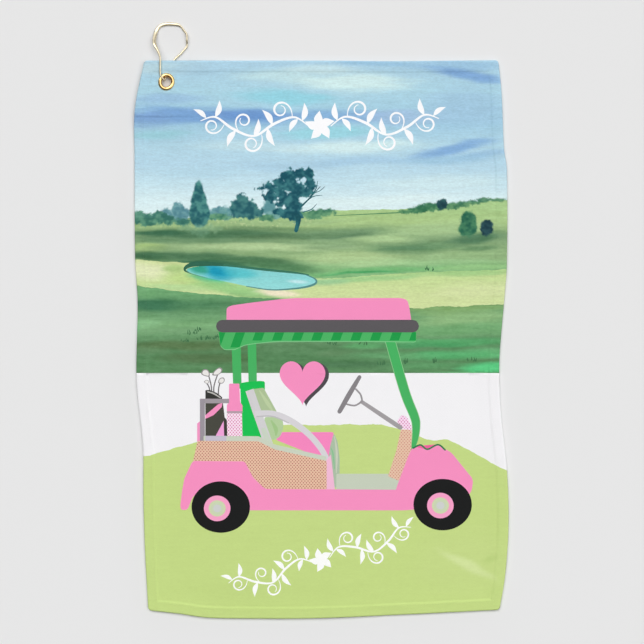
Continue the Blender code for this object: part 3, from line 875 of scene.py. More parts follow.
def controls():
    """The steering wheel and its column."""
    grey = (134, 130, 133)
    return [
        (ribbon([(33, 113.5), (54, 99.5), (74.9, 85.6)], [4.0, 4.8, 5.0]), (160, 156, 158)),
        (stroke([(26.4, 127.4), (31.5, 121.5), (33.4, 114.2)], 1.9), (150, 146, 148)),
        (stroke([(16.7, 110.9), (25.4, 109.6), (33.2, 114)], 1.9), (150, 146, 148)),
        (ribbon([(30.3, 140.6), (19.4, 122.2), (8.6, 103.1)], [4.2, 5.4, 4.8]), grey),
    ]


def wheel(x, y, hub_x, hub_y):
    """A tyre and its hub."""
    rings = (
        (14.5, 14.0, FADED_PINK),
        (9.3, 8.9, (204, 214, 172)),
        (7.2, 6.9, (200, 211, 180)),
        (4.4, 4.2, (204, 206, 204)),
    )
    tyre = [(oval(x, y, 31.9, 28.1, 72), TYRE)]
    return tyre + [(oval(hub_x, hub_y, rx, ry, 36), ink) for rx, ry, ink in rings]


def heart(x, y, size):
    """A closed heart about its middle."""
    t = np.linspace(0, math.tau, 60, endpoint=False)
    across = 16 * np.sin(t) ** 3
    up = 13 * np.cos(t) - 5 * np.cos(2 * t) - 2 * np.cos(3 * t) - np.cos(4 * t)
    return np.stack([x + across * size / 32, y + (up + 2.5) * size / 30], 1)


def print_shapes():
    """Every shape of the print from the back to the front, as (loop, ink, ink of its dots, wetness)."""
    side = PRINT_SIDE
    band = np.array([(-side, PAINTING_LOW), (side, PAINTING_LOW), (side, PRINT_LOW), (-side, PRINT_LOW)])
    shapes = [(loop, ink, None, 1.0) for loop, ink in landscape()]
    shapes.append((band, WHITE, None, 0.0))
    shapes.append((below(HILL_TOP, 4, 0.9), "hill", None, 0.25))
    for loop, ink, *dots in cart():
        shapes.append((loop + CART_AT, ink, dots[0] if dots else None, 0.0))
    shapes.append((heart(-16.5, -70.5, 50), (78, 74, 78), None, 0.0))
    shapes.append((heart(-20.5, -69, 50), PINK, None, 0.0))
    shapes += [(loop, (250, 250, 252), None, 0.0) for loop in vine(-1.5, 212, 0.6, 1.0)]
    shapes += [(loop, (250, 251, 248), None, 0.0) for loop in vine(0, -262, 17, 0.80)]
    return shapes


# ---------------------------------------------------------------- the cloth's shape

# How deep a seam presses into the face and the back.
FACE_GROOVE = 0.00007
BACK_GROOVE = 0.00022
# How far up the fold line across the left of the face lies, and the low ridge beside it.
FOLD_LINE = 0.2212
FOLD_RIDGE = 0.2232
# The points round the outline, which the face and the back share, are this far apart.
OUTLINE_STEP = 0.0016
# How far an edge's rounding reaches in.
EDGE_ROUND = 0.0014


def cloth_heights(x, y):
    """The heights of the cloth's top and underside at points."""
    across, down = nominal(x, y)
    edge = inside(across, down)
    end = np.minimum(down, LENGTH - down) < np.minimum(across, WIDTH - across)
    along = np.where(end, across, down)
    radius = from_grommet(x, y)
    lifted = 1 - smoothstep(LIFT_NEAR, LIFT_FAR, radius)

    over_hem = 1 - smoothstep(HEM, HEM + 0.0022, edge)
    sag = 1 - smoothstep(HEM, SAG_END, edge)
    free = 1 - lifted
    ripple = 0.00022 * (1.2 + noise(x, y, 0.09, 0.07, 5))
    flutter = 0.00030 * (1 + noise(along, edge, 0.045, 0.05, 6)) * np.exp(-edge / 0.016)
    base = FLOOR_CLEARANCE + CORNER_LIFT * lifted + (ripple + flutter) * free
    panel = base + (0.62 * over_hem + 0.38 * sag) * HEM_CLOTH
    low = np.where(edge < HEM + 0.00015, base, panel)
    top = panel + CLOTH

    # The seams press into both faces, and more where a stitch goes through.
    pull = 0.75 + 0.25 * np.cos(math.tau * along / STITCH)
    seam = np.exp(-(((edge - SEAM) / 0.00085) ** 2)) * pull
    top = top - FACE_GROOVE * seam
    low = low + BACK_GROOVE * seam
    # The fold line fades out towards the middle of the face.
    crease = 1 - smoothstep(-0.168, -0.120, x)
    top = top - 0.00045 * crease * np.exp(-(((y - FOLD_LINE) / 0.0008) ** 2))
    top = top + 0.00030 * crease * np.exp(-(((y - FOLD_RIDGE) / 0.0018) ** 2))

    # The cloth is pinched between the rim and the washer, and swells and puckers round them.
    pinch = 1 - smoothstep(FLANGE_RADIUS, FLANGE_RADIUS + 0.0060, radius)
    swell = 0.00022 * np.exp(-(((radius - 0.0122) / 0.0016) ** 2))
    turn = np.arctan2(y - GROMMET.y, x - GROMMET.x)
    pucker = 0.00014 * np.cos(9 * turn + 1) * np.exp(-(((radius - 0.0135) / 0.0028) ** 2))
    top = top + (FLANGE_LOW - 0.00003 - top) * pinch + swell + pucker
    low = low + (WASHER_TOP + 0.00002 - low) * pinch + pucker

    # The edge is a fold, so it is round in section.
    depth = np.clip(edge / EDGE_ROUND, 0.0, 1.0)
    middle, half = (top + low) / 2, (top - low) / 2
    round_off = np.sqrt(1 - (1 - depth) ** 2)
    return middle + half * round_off, middle - half * round_off


def outline_ring(depth, spacing):
    """Points round the sheet at a depth inside its outline, as nominal distances across and down."""
    r = max(CORNER - depth, 0.0005)
    low, high_x, high_y = depth + r, WIDTH - depth - r, LENGTH - depth - r
    ring = []
    corners = ((high_x, low, -90), (high_x, high_y, 0), (low, high_y, 90), (low, low, 180))
    for k, (cx, cy, start) in enumerate(corners):
        count = max(4, int(r * math.pi / 2 / (spacing * 0.6)))
        angles = np.radians(start + np.linspace(0, 90, count + 1))
        ring += list(zip(cx + r * np.cos(angles), cy + r * np.sin(angles)))
        nx, ny, turn = corners[(k + 1) % 4]
        turn = math.radians(turn)
        there = np.array([nx + r * math.cos(turn), ny + r * math.sin(turn)])
        here = np.array(ring[-1])
        steps = int(np.linalg.norm(there - here) / spacing)
        ring += [tuple(here + (there - here) * i / steps) for i in range(1, steps)]
    return np.array(ring)


# Distances from an edge where its shape changes quickly.
NEAR_EDGE = (
    0.0022, 0.0031, 0.0042, 0.0055, 0.0068, 0.0078,
    0.0112, 0.0118, 0.0125, 0.0134, 0.0146, 0.0162,
)
# Rows of the grid along the fold line, as distances down the sheet.
NEAR_FOLD = (0.0604, 0.0612, 0.0628, 0.0636)
# The even grid begins past the last of them.
EDGE_ZONE = NEAR_EDGE[-1]
# The face's grid, down the sheet: where each part ends, and its steps down and across.
GRID = (
    (0.112, 0.0021, 0.0022),
    (0.190, 0.00105, 0.00110),
    (0.273, 0.00125, 0.0016),
    (0.343, 0.0015, 0.0018),
    (LENGTH, 0.0032, 0.0036),
)


def spread(size, step):
    """Distances across the sheet: close together near both edges, then at a step."""
    count = int((size - 2 * EDGE_ZONE) / step)
    middle = np.linspace(EDGE_ZONE, size - EDGE_ZONE, count + 1)[1:-1]
    return np.array([*NEAR_EDGE, *middle, *[size - n for n in NEAR_EDGE[::-1]]])


def placed(points):
    """The same as place, for points in rows."""
    return np.stack(place(points[:, 0], points[:, 1]), 1)


def hole_ring(radius, count=64):
    return oval(GROMMET.x, GROMMET.y, radius, radius, count)


class Plan:
    """Points and loops to be joined into triangles, seen in plan. It begins with the outline and the hole."""

    def __init__(self):
        self.points, self.loops, self.count = [], [], 0
        self.add(placed(outline_ring(0.0, OUTLINE_STEP)), loop=True)
        self.add(hole_ring(HOLE_RADIUS), loop=True)

    def add(self, points, loop=False):
        """Adds points, and the loop that they make, which has to run anticlockwise."""
        if loop:
            x, y = points[:, 0], points[:, 1]
            if np.sum(x * np.roll(y, -1) - y * np.roll(x, -1)) < 0:
                points = points[::-1]
            self.loops.append(list(range(self.count, self.count + len(points))))
        self.points.append(points)
        self.count += len(points)

    def triangles(self):
        """The vertices, the triangles, and the loops that each triangle lies in."""
        flat = [Vector(p) for p in np.vstack(self.points)]
        vertices, _, faces, _, _, within = geometry.delaunay_2d_cdt(flat, [], self.loops, 1, 1e-6, True)
        return np.array([tuple(v) for v in vertices]), faces, within


def clear_of(points, lines, gap):
    """The points that are more than gap from every point of lines."""
    lines = np.vstack(lines)
    tree = kdtree.KDTree(len(lines))
    for i, (x, y) in enumerate(lines):
        tree.insert((x, y, 0.0), i)
    tree.balance()
    return np.array([p for p in points if tree.find((p[0], p[1], 0.0))[2] > gap])


def face_plan(shapes):
    """The printed face in plan: its outline, its hole, its seams, a grid, and every printed shape."""
    plan = Plan()
    for loop, *_ in shapes:
        plan.add(loop * 0.001, loop=True)
    fixed = list(plan.points)
    # Rings that follow the edge, the seam and the grommet, kept clear of the print's outlines.
    rings = [placed(outline_ring(d, OUTLINE_STEP)) for d in (0.0003, 0.0008, 0.0014)]
    rings += [placed(outline_ring(SEAM + d, 0.00078)) for d in (-0.0007, 0.0, 0.0007)]
    rings += [hole_ring(r, 72) for r in (0.0068, 0.0080, 0.0094, 0.0106, 0.0118, 0.0130, 0.0146)]
    for ring in rings:
        plan.add(clear_of(ring, fixed[2:], 0.00028))
    # The grid, with every other row shifted by half a step.
    grid = []
    start = 0.0
    for end, step_down, step_across in GRID:
        for i, d in enumerate(np.arange(max(start, EDGE_ZONE), min(end, LENGTH - EDGE_ZONE), step_down)):
            row = spread(WIDTH, step_across)
            row[len(NEAR_EDGE) : -len(NEAR_EDGE)] += step_across / 2 * (i % 2)
            grid.append(np.stack([row, np.full(len(row), d)], 1))
        start = end
    for d in (*NEAR_EDGE, *[LENGTH - n for n in NEAR_EDGE], *NEAR_FOLD):
        row = spread(WIDTH, 0.0022)
        grid.append(np.stack([row, np.full(len(row), d)], 1))
    grid = placed(np.vstack(grid))
    grid = grid[from_grommet(*grid.T) > 0.0155]
    plan.add(clear_of(grid, fixed, 0.00055))
    return plan


# Of the back's loops, the one inside the hem's step, after the outline, the hole and the step's outer edge.
STEP_LOOP = 3


def back_plan():
    """The back in plan: its outline, its hole, the step at the hem's inner edge, and a coarse grid."""
    plan = Plan()
    rings = [(0.0003, OUTLINE_STEP), (0.0008, OUTLINE_STEP), (0.0014, 0.0020), (0.0045, 0.004)]
    rings += [(SEAM - 0.0010, 0.0015), (SEAM, 0.0015), (SEAM + 0.0010, 0.0015)]
    for depth, spacing in rings:
        plan.add(placed(outline_ring(depth, spacing)))
    for depth in (HEM, HEM + 0.0003):
        plan.add(placed(outline_ring(depth, 0.0030)), loop=True)
    for radius in (0.0078, 0.0096, 0.0115, 0.0135, 0.0155):
        plan.add(hole_ring(radius, 48))
    a, d = np.meshgrid(*[np.arange(0.016, size - 0.015, 0.0062) for size in (WIDTH, LENGTH)])
    grid = placed(np.stack([a.ravel(), d.ravel()], 1))
    plan.add(grid[from_grommet(*grid.T) > 0.0185])
    return plan


# The back of the cloth, and the thread on it.
BARE_CLOTH = (236, 236, 234)
BARE_THREAD = (232, 232, 230)


def linear(colour):
    """Screen colours from 0 to 255 as the light they stand for."""
    c = np.asarray(colour, float) / 255.0
    return np.where(c <= 0.04045, c / 12.92, ((c + 0.055) / 1.055) ** 2.4)


def new_object(name, data):
    made = bpy.data.objects.new(name, data)
    bpy.context.scene.collection.objects.link(made)
    return made


def mesh_object(name, points, faces, material):
    mesh = bpy.data.meshes.new(name)
    mesh.from_pydata([tuple(p) for p in points], [], [tuple(int(i) for i in f) for f in faces])
    mesh.materials.append(material)
    mesh.shade_smooth()
    return new_object(name, mesh)


def write_colours(mesh, name, domain, colours):
    """A colour and a fourth value for each corner of each face, or for each point."""
    layer = mesh.attributes.new(name, "FLOAT_COLOR", domain)
    layer.data.foreach_set("color", np.ascontiguousarray(colours, dtype=np.float32).ravel())


def on_cloth(within):
    """Which triangles lie inside a plan's first loop, the outline, and outside its second, the hole."""
    return [i for i, loops in enumerate(within) if 0 in loops and 1 not in loops]


def key_of(point):
    """A point to the micrometre, by which the same point of both faces is found."""
    return tuple(np.round(point, 6))


def in_print(points):
    """The x and y of points, in millimetres."""
    return points[:, 0] * 1000, points[:, 1] * 1000


def face_inks(points, triangles, shape_of, shapes):
    """The colour, and the colour of the dots, at each corner of the printed face's triangles."""
    x, y = in_print(points)
    washes = {name: linear(make(x, y)) for name, make in WASHES.items()}
    colours, spots = np.zeros((2, len(triangles), 3, 3))
    for k, (_, ink, dots, _) in enumerate(shapes):
        mine = shape_of == k
        colours[mine] = washes[ink][triangles[mine]] if isinstance(ink, str) else linear(ink)
        spots[mine] = colours[mine] if dots is None else linear(dots)
    return colours, spots


def join_faces(flat, back_flat):
    """The back's points, numbered after the face's but sharing the outline's, and the wall of the hole."""
    index = {key_of(p): i for i, p in enumerate(flat)}
    joined = np.arange(len(back_flat)) + len(flat)
    for i, p in enumerate(back_flat):
        key = key_of(p)
        if key in index and inside(*nominal(*p)) < 0.00008:
            joined[i] = index[key]
    back_index = {key_of(p): int(joined[i]) for i, p in enumerate(back_flat)}
    ring = [key_of(p) for p in hole_ring(HOLE_RADIUS)]
    upper, lower = [index[p] for p in ring], [back_index[p] for p in ring]
    wall = []
    for i in range(len(ring)):
        j = (i + 1) % len(ring)
        wall += [(upper[i], upper[j], lower[j]), (upper[i], lower[j], lower[i])]
    return joined, np.array(wall)


def make_cloth(material):
    """The whole sheet as one closed mesh: the printed face, the back, and the wall of the hole."""
    printed = print_shapes()
    flat, triangles, within = face_plan(printed).triangles()
    keep = on_cloth(within)
    front = np.array([triangles[i] for i in keep])
    # The sky lies under every shape, and the loops of the shapes come after the outline and the hole.
    shapes = [(None, "sky", None, 1.0), *printed]
    shape_of = np.array([max((k - 1 for k in within[i] if k > 1), default=0) for i in keep])
    wetness = np.array([shape[3] for shape in shapes])
    colours, spots = face_inks(flat, front, shape_of, shapes)
    top, _ = cloth_heights(flat[:, 0], flat[:, 1])

    back_flat, triangles, within = back_plan().triangles()
    keep = on_cloth(within)
    back = np.array([triangles[i] for i in keep])[:, ::-1]
    on_hem = np.array([STEP_LOOP not in within[i] for i in keep])
    behind = linear(ground(*in_print(back_flat)) * 0.96)
    back_colours = np.where(on_hem[:, None, None], behind[back], linear(BARE_CLOTH))
    _, low = cloth_heights(back_flat[:, 0], back_flat[:, 1])

    joined, wall = join_faces(flat, back_flat)
    faces = np.vstack([front, joined[back], wall])
    points = np.vstack([np.column_stack([flat, top]), np.column_stack([back_flat, low])])
    used = np.unique(faces)
    renumber = np.zeros(len(points), int)
    renumber[used] = np.arange(len(used))
    cloth = mesh_object("towel_cloth", points[used], renumber[faces], material)

    pale = np.broadcast_to(linear(BARE_CLOTH), (len(wall), 3, 3))
    wet = np.repeat(np.concatenate([wetness[shape_of], on_hem * 0.6, np.zeros(len(wall))]), 3)
    for name, face_colours in (("ink", colours), ("spots", spots)):
        every = np.vstack([face_colours, back_colours, pale]).reshape(-1, 3)
        write_colours(cloth.data, name, "CORNER", np.column_stack([every, wet]))
    return cloth


# ---------------------------------------------------------------- stitches

STITCH_RINGS = 7
STITCH_SIDES = 7
THREAD_RADIUS = 0.00016
STITCH_DIP = 0.00022


def stitch_faces(first):
    """One stitch's triangles, from the number of its first point: its side and its two ends."""
    n = STITCH_SIDES
    last = first + (STITCH_RINGS - 1) * n
    faces = []
    for ring in range(first, last, n):
        for k in range(n):
            a, b = ring + k, ring + (k + 1) % n
            faces += [(a, a + n, b), (b, a + n, b + n)]
    for k in range(1, n - 1):
        faces += [(first, first + k, first + k + 1), (last, last + k + 1, last + k)]
    return faces


def make_stitches(name, run, back, material):
    """Lockstitches along a run of (across, down) points, each a short thread that dips at its ends."""
    line = placed(run)
    length = distances(line)
    count = int(length[-1] / STITCH)
    middle = (np.arange(count) + 0.5) * length[-1] / count
    centre = values_at(middle, length, line)
    ahead = unit(values_at(middle + 0.0005, length, line) - centre)
    aside = np.stack([-ahead[:, 1], ahead[:, 0]], 1)
    rng = np.random.default_rng(len(name))
    top, low = cloth_heights(centre[:, 0], centre[:, 1])
    level = (low - 0.00004) if back else (top + 0.00001)
    sign = -1.0 if back else 1.0

    t = np.linspace(-1, 1, STITCH_RINGS)
    along = t * 0.46 * STITCH
    thick = THREAD_RADIUS * np.sqrt(np.clip(1.06 - t**4, 0, 1))
    drop = -STITCH_DIP * t**4
    angles = np.linspace(0, math.tau, STITCH_SIDES, endpoint=False)
    points, faces = [], []
    for i in range(count):
        skew = rng.uniform(-0.05, 0.05)
        for j in range(STITCH_RINGS):
            spine = centre[i] + (ahead[i] + aside[i] * skew) * along[j]
            out = thick[j] * np.cos(angles)
            up = thick[j] * np.sin(angles)
            points.append(np.column_stack([spine + aside[i] * out[:, None], level[i] + sign * drop[j] + up]))
        faces += stitch_faces(i * STITCH_RINGS * STITCH_SIDES)
    points = np.vstack(points)
    made = mesh_object(name, points, faces, material)
    if back:
        thread = np.zeros((len(points), 3)) + linear(BARE_THREAD)
    else:
        thread = 0.97 * linear(ground(*in_print(points))) + 0.03 * linear(BARE_CLOTH)
    write_colours(made.data, "ink", "POINT", np.column_stack([thread, np.ones(len(thread))]))
    return made


def make_seams(material):
    """Four rows of stitches on the face and four on the back."""
    stop = 0.0030
    down = np.linspace(stop, LENGTH - stop, 400)
    across = np.linspace(SEAM + 0.001, WIDTH - SEAM - 0.001, 300)
    runs = {
        "left": np.stack([np.full_like(down, SEAM), down], 1),
        "right": np.stack([np.full_like(down, WIDTH - SEAM), down], 1),
        "top": np.stack([across, np.full_like(across, SEAM)], 1),
        "bottom": np.stack([across, np.full_like(across, LENGTH - SEAM)], 1),
    }
    made = []
    for side, run in runs.items():
        for kind, back in (("needle", False), ("bobbin", True)):
            seam = make_stitches(f"{kind}_stitches_{side}", run, back, material)
            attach(seam, "towel")
            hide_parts(f"{kind}_thread_{side}")
            made.append(seam)
    return made


# ---------------------------------------------------------------- metal


def tube(rings, sides, spans):
    """The faces between rings of points, over so many spans from each ring to the next."""
    faces = []
    for i in range(spans):
        here, there = i * sides, (i + 1) % rings * sides
        for k in range(sides):
            j = (k + 1) % sides
            faces.append((here + k, there + k, there + j, here + j))
    return faces


def turned(name, profile, material, segments=96):
    """A ring turned about the grommet's axis from a closed profile of (radius, height), and pressed oval."""
    angles = np.linspace(0, math.tau, segments, endpoint=False)
    points = np.array([(r * math.cos(a), r * math.sin(a), z) for a in angles for r, z in profile])
    turn = Matrix.Rotation(OVAL_TURN, 3, "Z")
    press = np.array(turn @ Matrix.Diagonal((OVAL, 1.0, 1.0)) @ turn.inverted())
    points = points @ press.T + np.array(GROMMET)
    return mesh_object(name, points, tube(segments, len(profile), segments), material)


def make_grommet(material):
    """The eyelet with its rolled rim, and the washer behind the cloth."""
    middle, half = (BORE_RADIUS + FLANGE_RADIUS) / 2, (FLANGE_RADIUS - BORE_RADIUS) / 2
    arc = np.linspace(0, math.pi, 22)
    foot = FLANGE_LOW + 0.00018
    crown = [(middle - half * math.cos(a), foot + FLANGE_HEIGHT * math.sin(a)) for a in arc[1:-1]]
    barrel = BORE_RADIUS + BARREL_WALL
    eyelet = [
        (BORE_RADIUS + 0.00012, WASHER_LOW + 0.00004),
        (BORE_RADIUS, WASHER_LOW + 0.0004),
        (BORE_RADIUS, 0.0040),
        (BORE_RADIUS, FLANGE_LOW),
        *crown,
        (FLANGE_RADIUS, FLANGE_LOW + 0.00022),
        (FLANGE_RADIUS - 0.00012, FLANGE_LOW),
        (FLANGE_RADIUS - 0.0006, FLANGE_LOW + 0.0001),
        (barrel + 0.0004, FLANGE_LOW + 0.0001),
        (barrel, FLANGE_LOW - 0.0003),
        (barrel, 0.0040),
        (barrel, WASHER_LOW + 0.0003),
        (barrel - 0.00012, WASHER_LOW),
    ]
    hole, rim = barrel + 0.0003, FLANGE_RADIUS - 0.0004
    washer = [
        (hole, WASHER_LOW + 0.0001),
        (hole, WASHER_TOP),
        (rim - 0.0001, WASHER_TOP),
        (rim, WASHER_TOP - 0.0001),
        (rim, WASHER_LOW + 0.0004),
        (rim - 0.0002, WASHER_LOW + 0.0002),
        (rim - 0.0004, WASHER_LOW),
        (hole + 0.0001, WASHER_LOW),
    ]
    front = turned("grommet_rim", eyelet, material)
    behind = turned("grommet_back_ring", washer, material)
    for piece, node in ((front, "grommet_eyelet"), (behind, "grommet_washer")):
        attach(piece, "towel")
        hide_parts(node)


def make_wire(name, route, material, round_sides=20):
    """A closed wire with round ends, along a route of (x, y, z, half width, half height) from the grommet."""
    centres = route[:, :3] + np.array(GROMMET)
    reach = distances(centres)
    total = reach[-1]
    ends = WIRE_END
    extra = np.array([0.0, 0.1, 0.3, 0.6, 1.0]) * ends
    stops = np.concatenate([extra, reach[(reach > ends) & (reach < total - ends)], total - extra[::-1]])
    line = values_at(stops, reach, centres)
    size = values_at(stops, reach, route[:, 3:])
    near_end = np.clip(np.minimum(stops, total - stops) / ends, 0, 1)
    size *= (0.35 + 0.65 * np.sqrt(1 - (1 - near_end) ** 2))[:, None]
    ahead = unit(np.gradient(line, axis=0))
    angles = np.linspace(0, math.tau, round_sides, endpoint=False)
    side = np.cross((0.0, 0.0, 1.0), ahead[-1])
    rings = []
    for i in range(len(line) - 1, -1, -1):
        side = side - ahead[i] * side.dot(ahead[i])
        side /= np.linalg.norm(side)
        up = np.cross(ahead[i], side)
        width, height = size[i]
        rings.append(line[i] + np.outer(width * np.cos(angles), side) + np.outer(height * np.sin(angles), up))
    count = len(rings) * round_sides
    faces = tube(len(rings), round_sides, len(rings) - 1)
    faces.append(tuple(range(round_sides)))
    faces.append(tuple(range(count - 1, count - round_sides - 1, -1)))
    return mesh_object(name, np.vstack(rings), faces, material)


def make_clip(material):
    """The clip's wire in front of the cloth with its flattened bow, and its springy arm behind."""
    x, y = POST
    bend = WIRE_BEND
    section = (WIRE_RADIUS, WIRE_RADIUS)
    front = [
        (x, y, WASHER_LOW, *section),
        (x, y, FRONT_ARM_Z - 2 * bend, *section),
        (x - 0.1 * bend, y + 0.1 * bend, FRONT_ARM_Z - 0.9 * bend, *section),
        (x - 0.5 * bend, y + 0.6 * bend, FRONT_ARM_Z - 0.1 * bend, *section),
    ]
    down = 0.0
    for along, up, flatness in FRONT_ROUTE:
        down = max(down, smoothstep(ARM_DOWN_NEAR, ARM_DOWN_FAR, math.hypot(along, up)))
        width = WIRE_RADIUS + (BOW_HALF_WIDTH - WIRE_RADIUS) * flatness
        height = WIRE_RADIUS + (BOW_HALF_HEIGHT - WIRE_RADIUS) * flatness
        front.append((along, up, FRONT_ARM_Z + (height - FRONT_ARM_Z) * down, width, height))
    rear = [(x, y, WIRE_RADIUS, *section)]
    rear += [(along, up, WIRE_RADIUS, *section) for along, up in REAR_ROUTE]
    rear += [(along, up, TIP_Z, *section) for along, up in TIP_ROUTE]
    behind = smooth_route(rear, 8)
    behind[:, 2] = np.maximum(behind[:, 2], WIRE_RADIUS)
    for name, route, body, node in (
        ("clip_wire", smooth_route(front, 8), "clip", "clip_body"),
        ("clip_spring_arm", behind, "gate", "clip_gate"),
    ):
        piece = make_wire(name, route, material)
        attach(piece, body)
        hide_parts(node)


# ---------------------------------------------------------------- materials


class Nodes:
    """Builds the nodes of a material or a world. A call that adds nodes returns the last one's output."""

    def __init__(self, owner):
        self.owner = owner
        owner.use_nodes = True
        self.tree = owner.node_tree

    def fill(self, made, inputs):
        for key, value in inputs.items():
            if isinstance(value, bpy.types.NodeSocket):
                self.tree.links.new(value, made.inputs[key])
            else:
                made.inputs[key].default_value = value

    def add(self, kind, inputs, output=0, **settings):
        made = self.tree.nodes.new(kind)
        for key, value in settings.items():
            setattr(made, key, value)
        self.fill(made, inputs)
        return made.outputs[output]

    def math(self, operation, a, b=0.0, c=0.0):
        return self.add("ShaderNodeMath", {0: a, 1: b, 2: c}, operation=operation)

    def noise(self, point, scale, detail=2.0):
        stretched = self.add("ShaderNodeMapping", {"Vector": point, "Scale": scale})
        return self.add("ShaderNodeTexNoise", {"Vector": stretched, "Scale": 1.0, "Detail": detail})

    def varied(self, value, amount, around=1.0):
        """A level around a number, moved by a value from 0 to 1."""
        return self.math("MULTIPLY_ADD", self.math("SUBTRACT", value, 0.5), amount, around)

    def tinted(self, colour, level):
        return self.add("ShaderNodeVectorMath", {0: colour, "Scale": level}, 0, operation="SCALE")

    def crossed_rows(self, point, pitch_x, pitch_y):
        """Rows across rows, from -1 to 1."""
        x = self.add("ShaderNodeSeparateXYZ", {"Vector": point})
        y = x.node.outputs[1]
        across = self.math("SINE", self.math("MULTIPLY", x, math.tau / pitch_x))
        up = self.math("SINE", self.math("MULTIPLY", y, math.tau / pitch_y))
        return self.math("MULTIPLY", across, up)

    def finish(self, node, inputs):
        """Sets or links the inputs of the material's or the world's own node."""
        self.fill(self.tree.nodes[node], inputs)
        return self.owner


def new_material(name):
    """A material's nodes, and the point that they work from."""
    shader = Nodes(bpy.data.materials.new(name))
    return shader, shader.add("ShaderNodeTexCoord", {}, "Object")


WEAVE_PITCH = 0.00165
SPOT_PITCH = (0.0034, 0.0038)


def cloth_material():
    """Printed waffle microfibre. Each corner's ink holds its colour, and how wet the paint looks."""
    shader, point = new_material("printed_microfibre")
    ink = shader.add("ShaderNodeAttribute", {}, attribute_name="ink")
    wet = ink.node.outputs["Alpha"]
    spots = shader.add("ShaderNodeAttribute", {}, attribute_name="spots")
    dotted = shader.crossed_rows(point, *SPOT_PITCH)
    mask = shader.add("ShaderNodeMapRange", {"Value": dotted, "From Min": 0.25, "From Max": 0.6})
    colour = shader.add("ShaderNodeMix", {0: mask, 6: ink, 7: spots}, 2, data_type="RGBA")

    brush = shader.noise(point, (60.0, 300.0, 1.0), 4.0)
    paper = shader.noise(point, (260.0, 640.0, 1.0), 3.0)
    grain = shader.noise(point, (900.0, 900.0, 1.0), 1.0)
    strokes = shader.varied(paper, 0.34, shader.varied(brush, 0.20, 0.0))
    level = shader.varied(grain, 0.07, shader.math("MULTIPLY", strokes, wet))
    weave = shader.crossed_rows(point, WEAVE_PITCH, WEAVE_PITCH)
    weave = shader.math("MULTIPLY_ADD", weave, 0.5, 0.5)
    # The weave's rows also set the colour: lighter on the ridges and darker in the hollows, which is painted
    # light and shade over the real bump.
    level = shader.math("ADD", level, shader.math("MULTIPLY_ADD", weave, 0.05, 0.975))

    fuzz = shader.noise(point, (2400.0, 2400.0, 900.0), 2.0)
    height = shader.math("MULTIPLY_ADD", fuzz, 0.5, weave)
    bump = shader.add("ShaderNodeBump", {"Strength": 0.35, "Distance": 0.00025, "Height": height})
    rough = shader.math("MULTIPLY_ADD", fuzz, 0.12, 0.82)
    return shader.finish(
        "Principled BSDF",
        {
            "Base Color": shader.tinted(colour, level),
            "Roughness": rough,
            "Normal": bump,
            "Specular IOR Level": 0.12,
            "Sheen Weight": 0.06,
            "Sheen Roughness": 0.45,
        },
    )


def thread_material():
    """Spun thread in the colour of its ink, which on the face is the print's."""
    shader, point = new_material("sewing_thread")
    ink = shader.add("ShaderNodeAttribute", {}, attribute_name="ink")
    twist = shader.noise(point, (5200.0, 5200.0, 2000.0), 2.0)
    # The colour follows the twist's bump, darker where it dips: painted shade in the thread's grooves.
    level = shader.math("MULTIPLY_ADD", twist, 0.16, 0.87)
    bump = shader.add("ShaderNodeBump", {"Strength": 0.4, "Distance": 0.00008, "Height": twist})
    return shader.finish(
        "Principled BSDF",
        {
            "Base Color": shader.tinted(ink, level),
            "Roughness": 0.62,
            "Normal": bump,
            "Specular IOR Level": 0.18,
            "Sheen Weight": 0.06,
        },
    )


def metal_material(name, colour, rough, wear):
    """A plated metal with fine scratches and slightly uneven polish."""
    shader, point = new_material(name)
    smear = shader.noise(point, (260.0, 260.0, 260.0), 3.0)
    scratch = shader.noise(point, (5200.0, 700.0, 2600.0), 2.0)
    base = shader.add("ShaderNodeRGB", {})
    base.default_value = (*linear(colour), 1.0)
    tinted = shader.tinted(base, shader.varied(smear, wear))
    uneven = shader.math("MULTIPLY_ADD", smear, 0.10, rough)
    bump = shader.add("ShaderNodeBump", {"Strength": 0.12, "Distance": 0.00006, "Height": scratch})
    return shader.finish(
        "Principled BSDF", {"Base Color": tinted, "Roughness": uneven, "Metallic": 1.0, "Normal": bump}
    )


# ---------------------------------------------------------------- the stage

FLOOR_GREY = (229, 229, 229)
FLOOR_HALF = 12.0
FLOOR_Z = -0.0003
KEY_FROM = (-0.50, 0.62, 1.05)
KEY_STRENGTH = 1.08
KEY_DEGREES_WIDE = 38.0
# The room's level by the height of a direction: 0 at the horizon and below it, 1 straight above.
ROOM_LEVELS = ((0.0, 0.62), (0.14, 0.62), (0.24, 0.05), (0.60, 0.08), (0.76, 0.78), (1.0, 0.90))
ROOM_STRENGTH = 2.235
# Its side towards the towel's lower left is dark, which the metal shows.
BRIGHT_SIDE = (0.7, 0.7, 0.0)
SIDE_LEVELS = {"From Min": -0.18, "From Max": 0.16, "To Min": 0.12, "To Max": 1.20}
CAMERA_AT = (0.0008, -0.0020, 2.933)
CAMERA_LENS = 150.0
CAMERA_SENSOR = 36.0


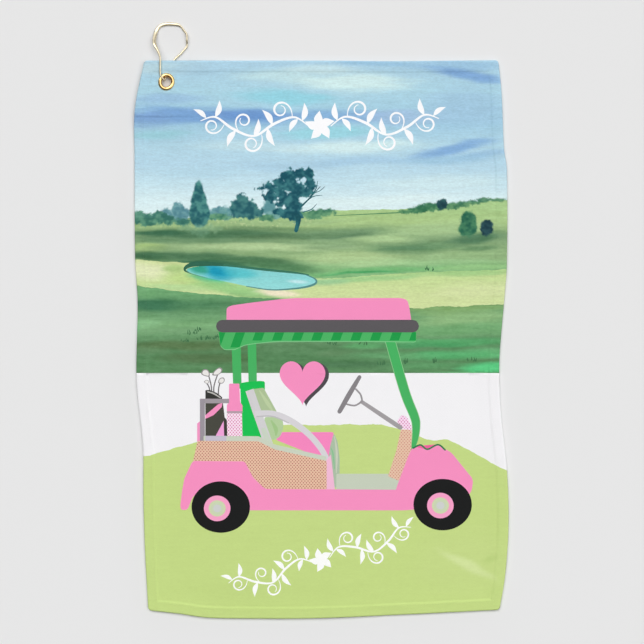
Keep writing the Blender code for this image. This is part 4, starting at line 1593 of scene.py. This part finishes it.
def make_floor():
    corners = [(x * FLOOR_HALF, y * FLOOR_HALF, FLOOR_Z) for x, y in ((-1, -1), (1, -1), (1, 1), (-1, 1))]
    matt = {"Base Color": (*linear(FLOOR_GREY), 1.0), "Roughness": 0.9, "Specular IOR Level": 0.0}
    paint = Nodes(bpy.data.materials.new("pale_floor")).finish("Principled BSDF", matt)
    return mesh_object("floor", corners, [(0, 1, 2, 3)], paint)


def make_room():
    """The light all round, as a world."""
    world = bpy.data.worlds.new("studio")
    room = Nodes(world)
    direction = room.add("ShaderNodeTexCoord", {}, "Generated")
    height = room.add("ShaderNodeSeparateXYZ", {0: direction}, 2)
    ramp = room.add("ShaderNodeValToRGB", {0: height})
    elements = ramp.node.color_ramp.elements
    elements[0].position = ROOM_LEVELS[0][0]
    elements[1].position = ROOM_LEVELS[-1][0]
    for position, _ in ROOM_LEVELS[1:-1]:
        elements.new(position)
    for element, (_, level) in zip(elements, ROOM_LEVELS):
        element.color = (level, level, level, 1.0)
    side = room.add("ShaderNodeVectorMath", {0: direction, 1: BRIGHT_SIDE}, "Value", operation="DOT_PRODUCT")
    share = room.add("ShaderNodeMapRange", {"Value": side, **SIDE_LEVELS})
    return room.finish("Background", {"Strength": ROOM_STRENGTH, "Color": room.tinted(ramp, share)})


def make_stage():
    """A pale floor, a soft key light from the upper left, a room, and a camera straight above."""
    make_floor()
    lamp = bpy.data.lights.new("key", "SUN")
    lamp.energy = KEY_STRENGTH
    lamp.angle = math.radians(KEY_DEGREES_WIDE)
    key = new_object("key", lamp)
    key.rotation_mode = "QUATERNION"
    key.rotation_quaternion = Vector(KEY_FROM).to_track_quat("Z", "Y")

    scene = bpy.context.scene
    scene.world = make_room()
    data = bpy.data.cameras.new("camera")
    data.lens = CAMERA_LENS
    data.sensor_width = CAMERA_SENSOR
    scene.camera = new_object("camera", data)
    scene.camera.location = CAMERA_AT
    scene.view_settings.view_transform = "Standard"


def main():
    cloth = make_cloth(cloth_material())
    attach(cloth, "towel")
    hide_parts("towel_panel", "hem_top", "hem_bottom", "hem_left", "hem_right")
    seams = make_seams(thread_material())
    make_grommet(metal_material("polished_brass", (235, 196, 132), rough=0.05, wear=0.30))
    make_clip(metal_material("pale_gold_plate", (222, 210, 180), rough=0.30, wear=0.12))
    make_stage()


main()
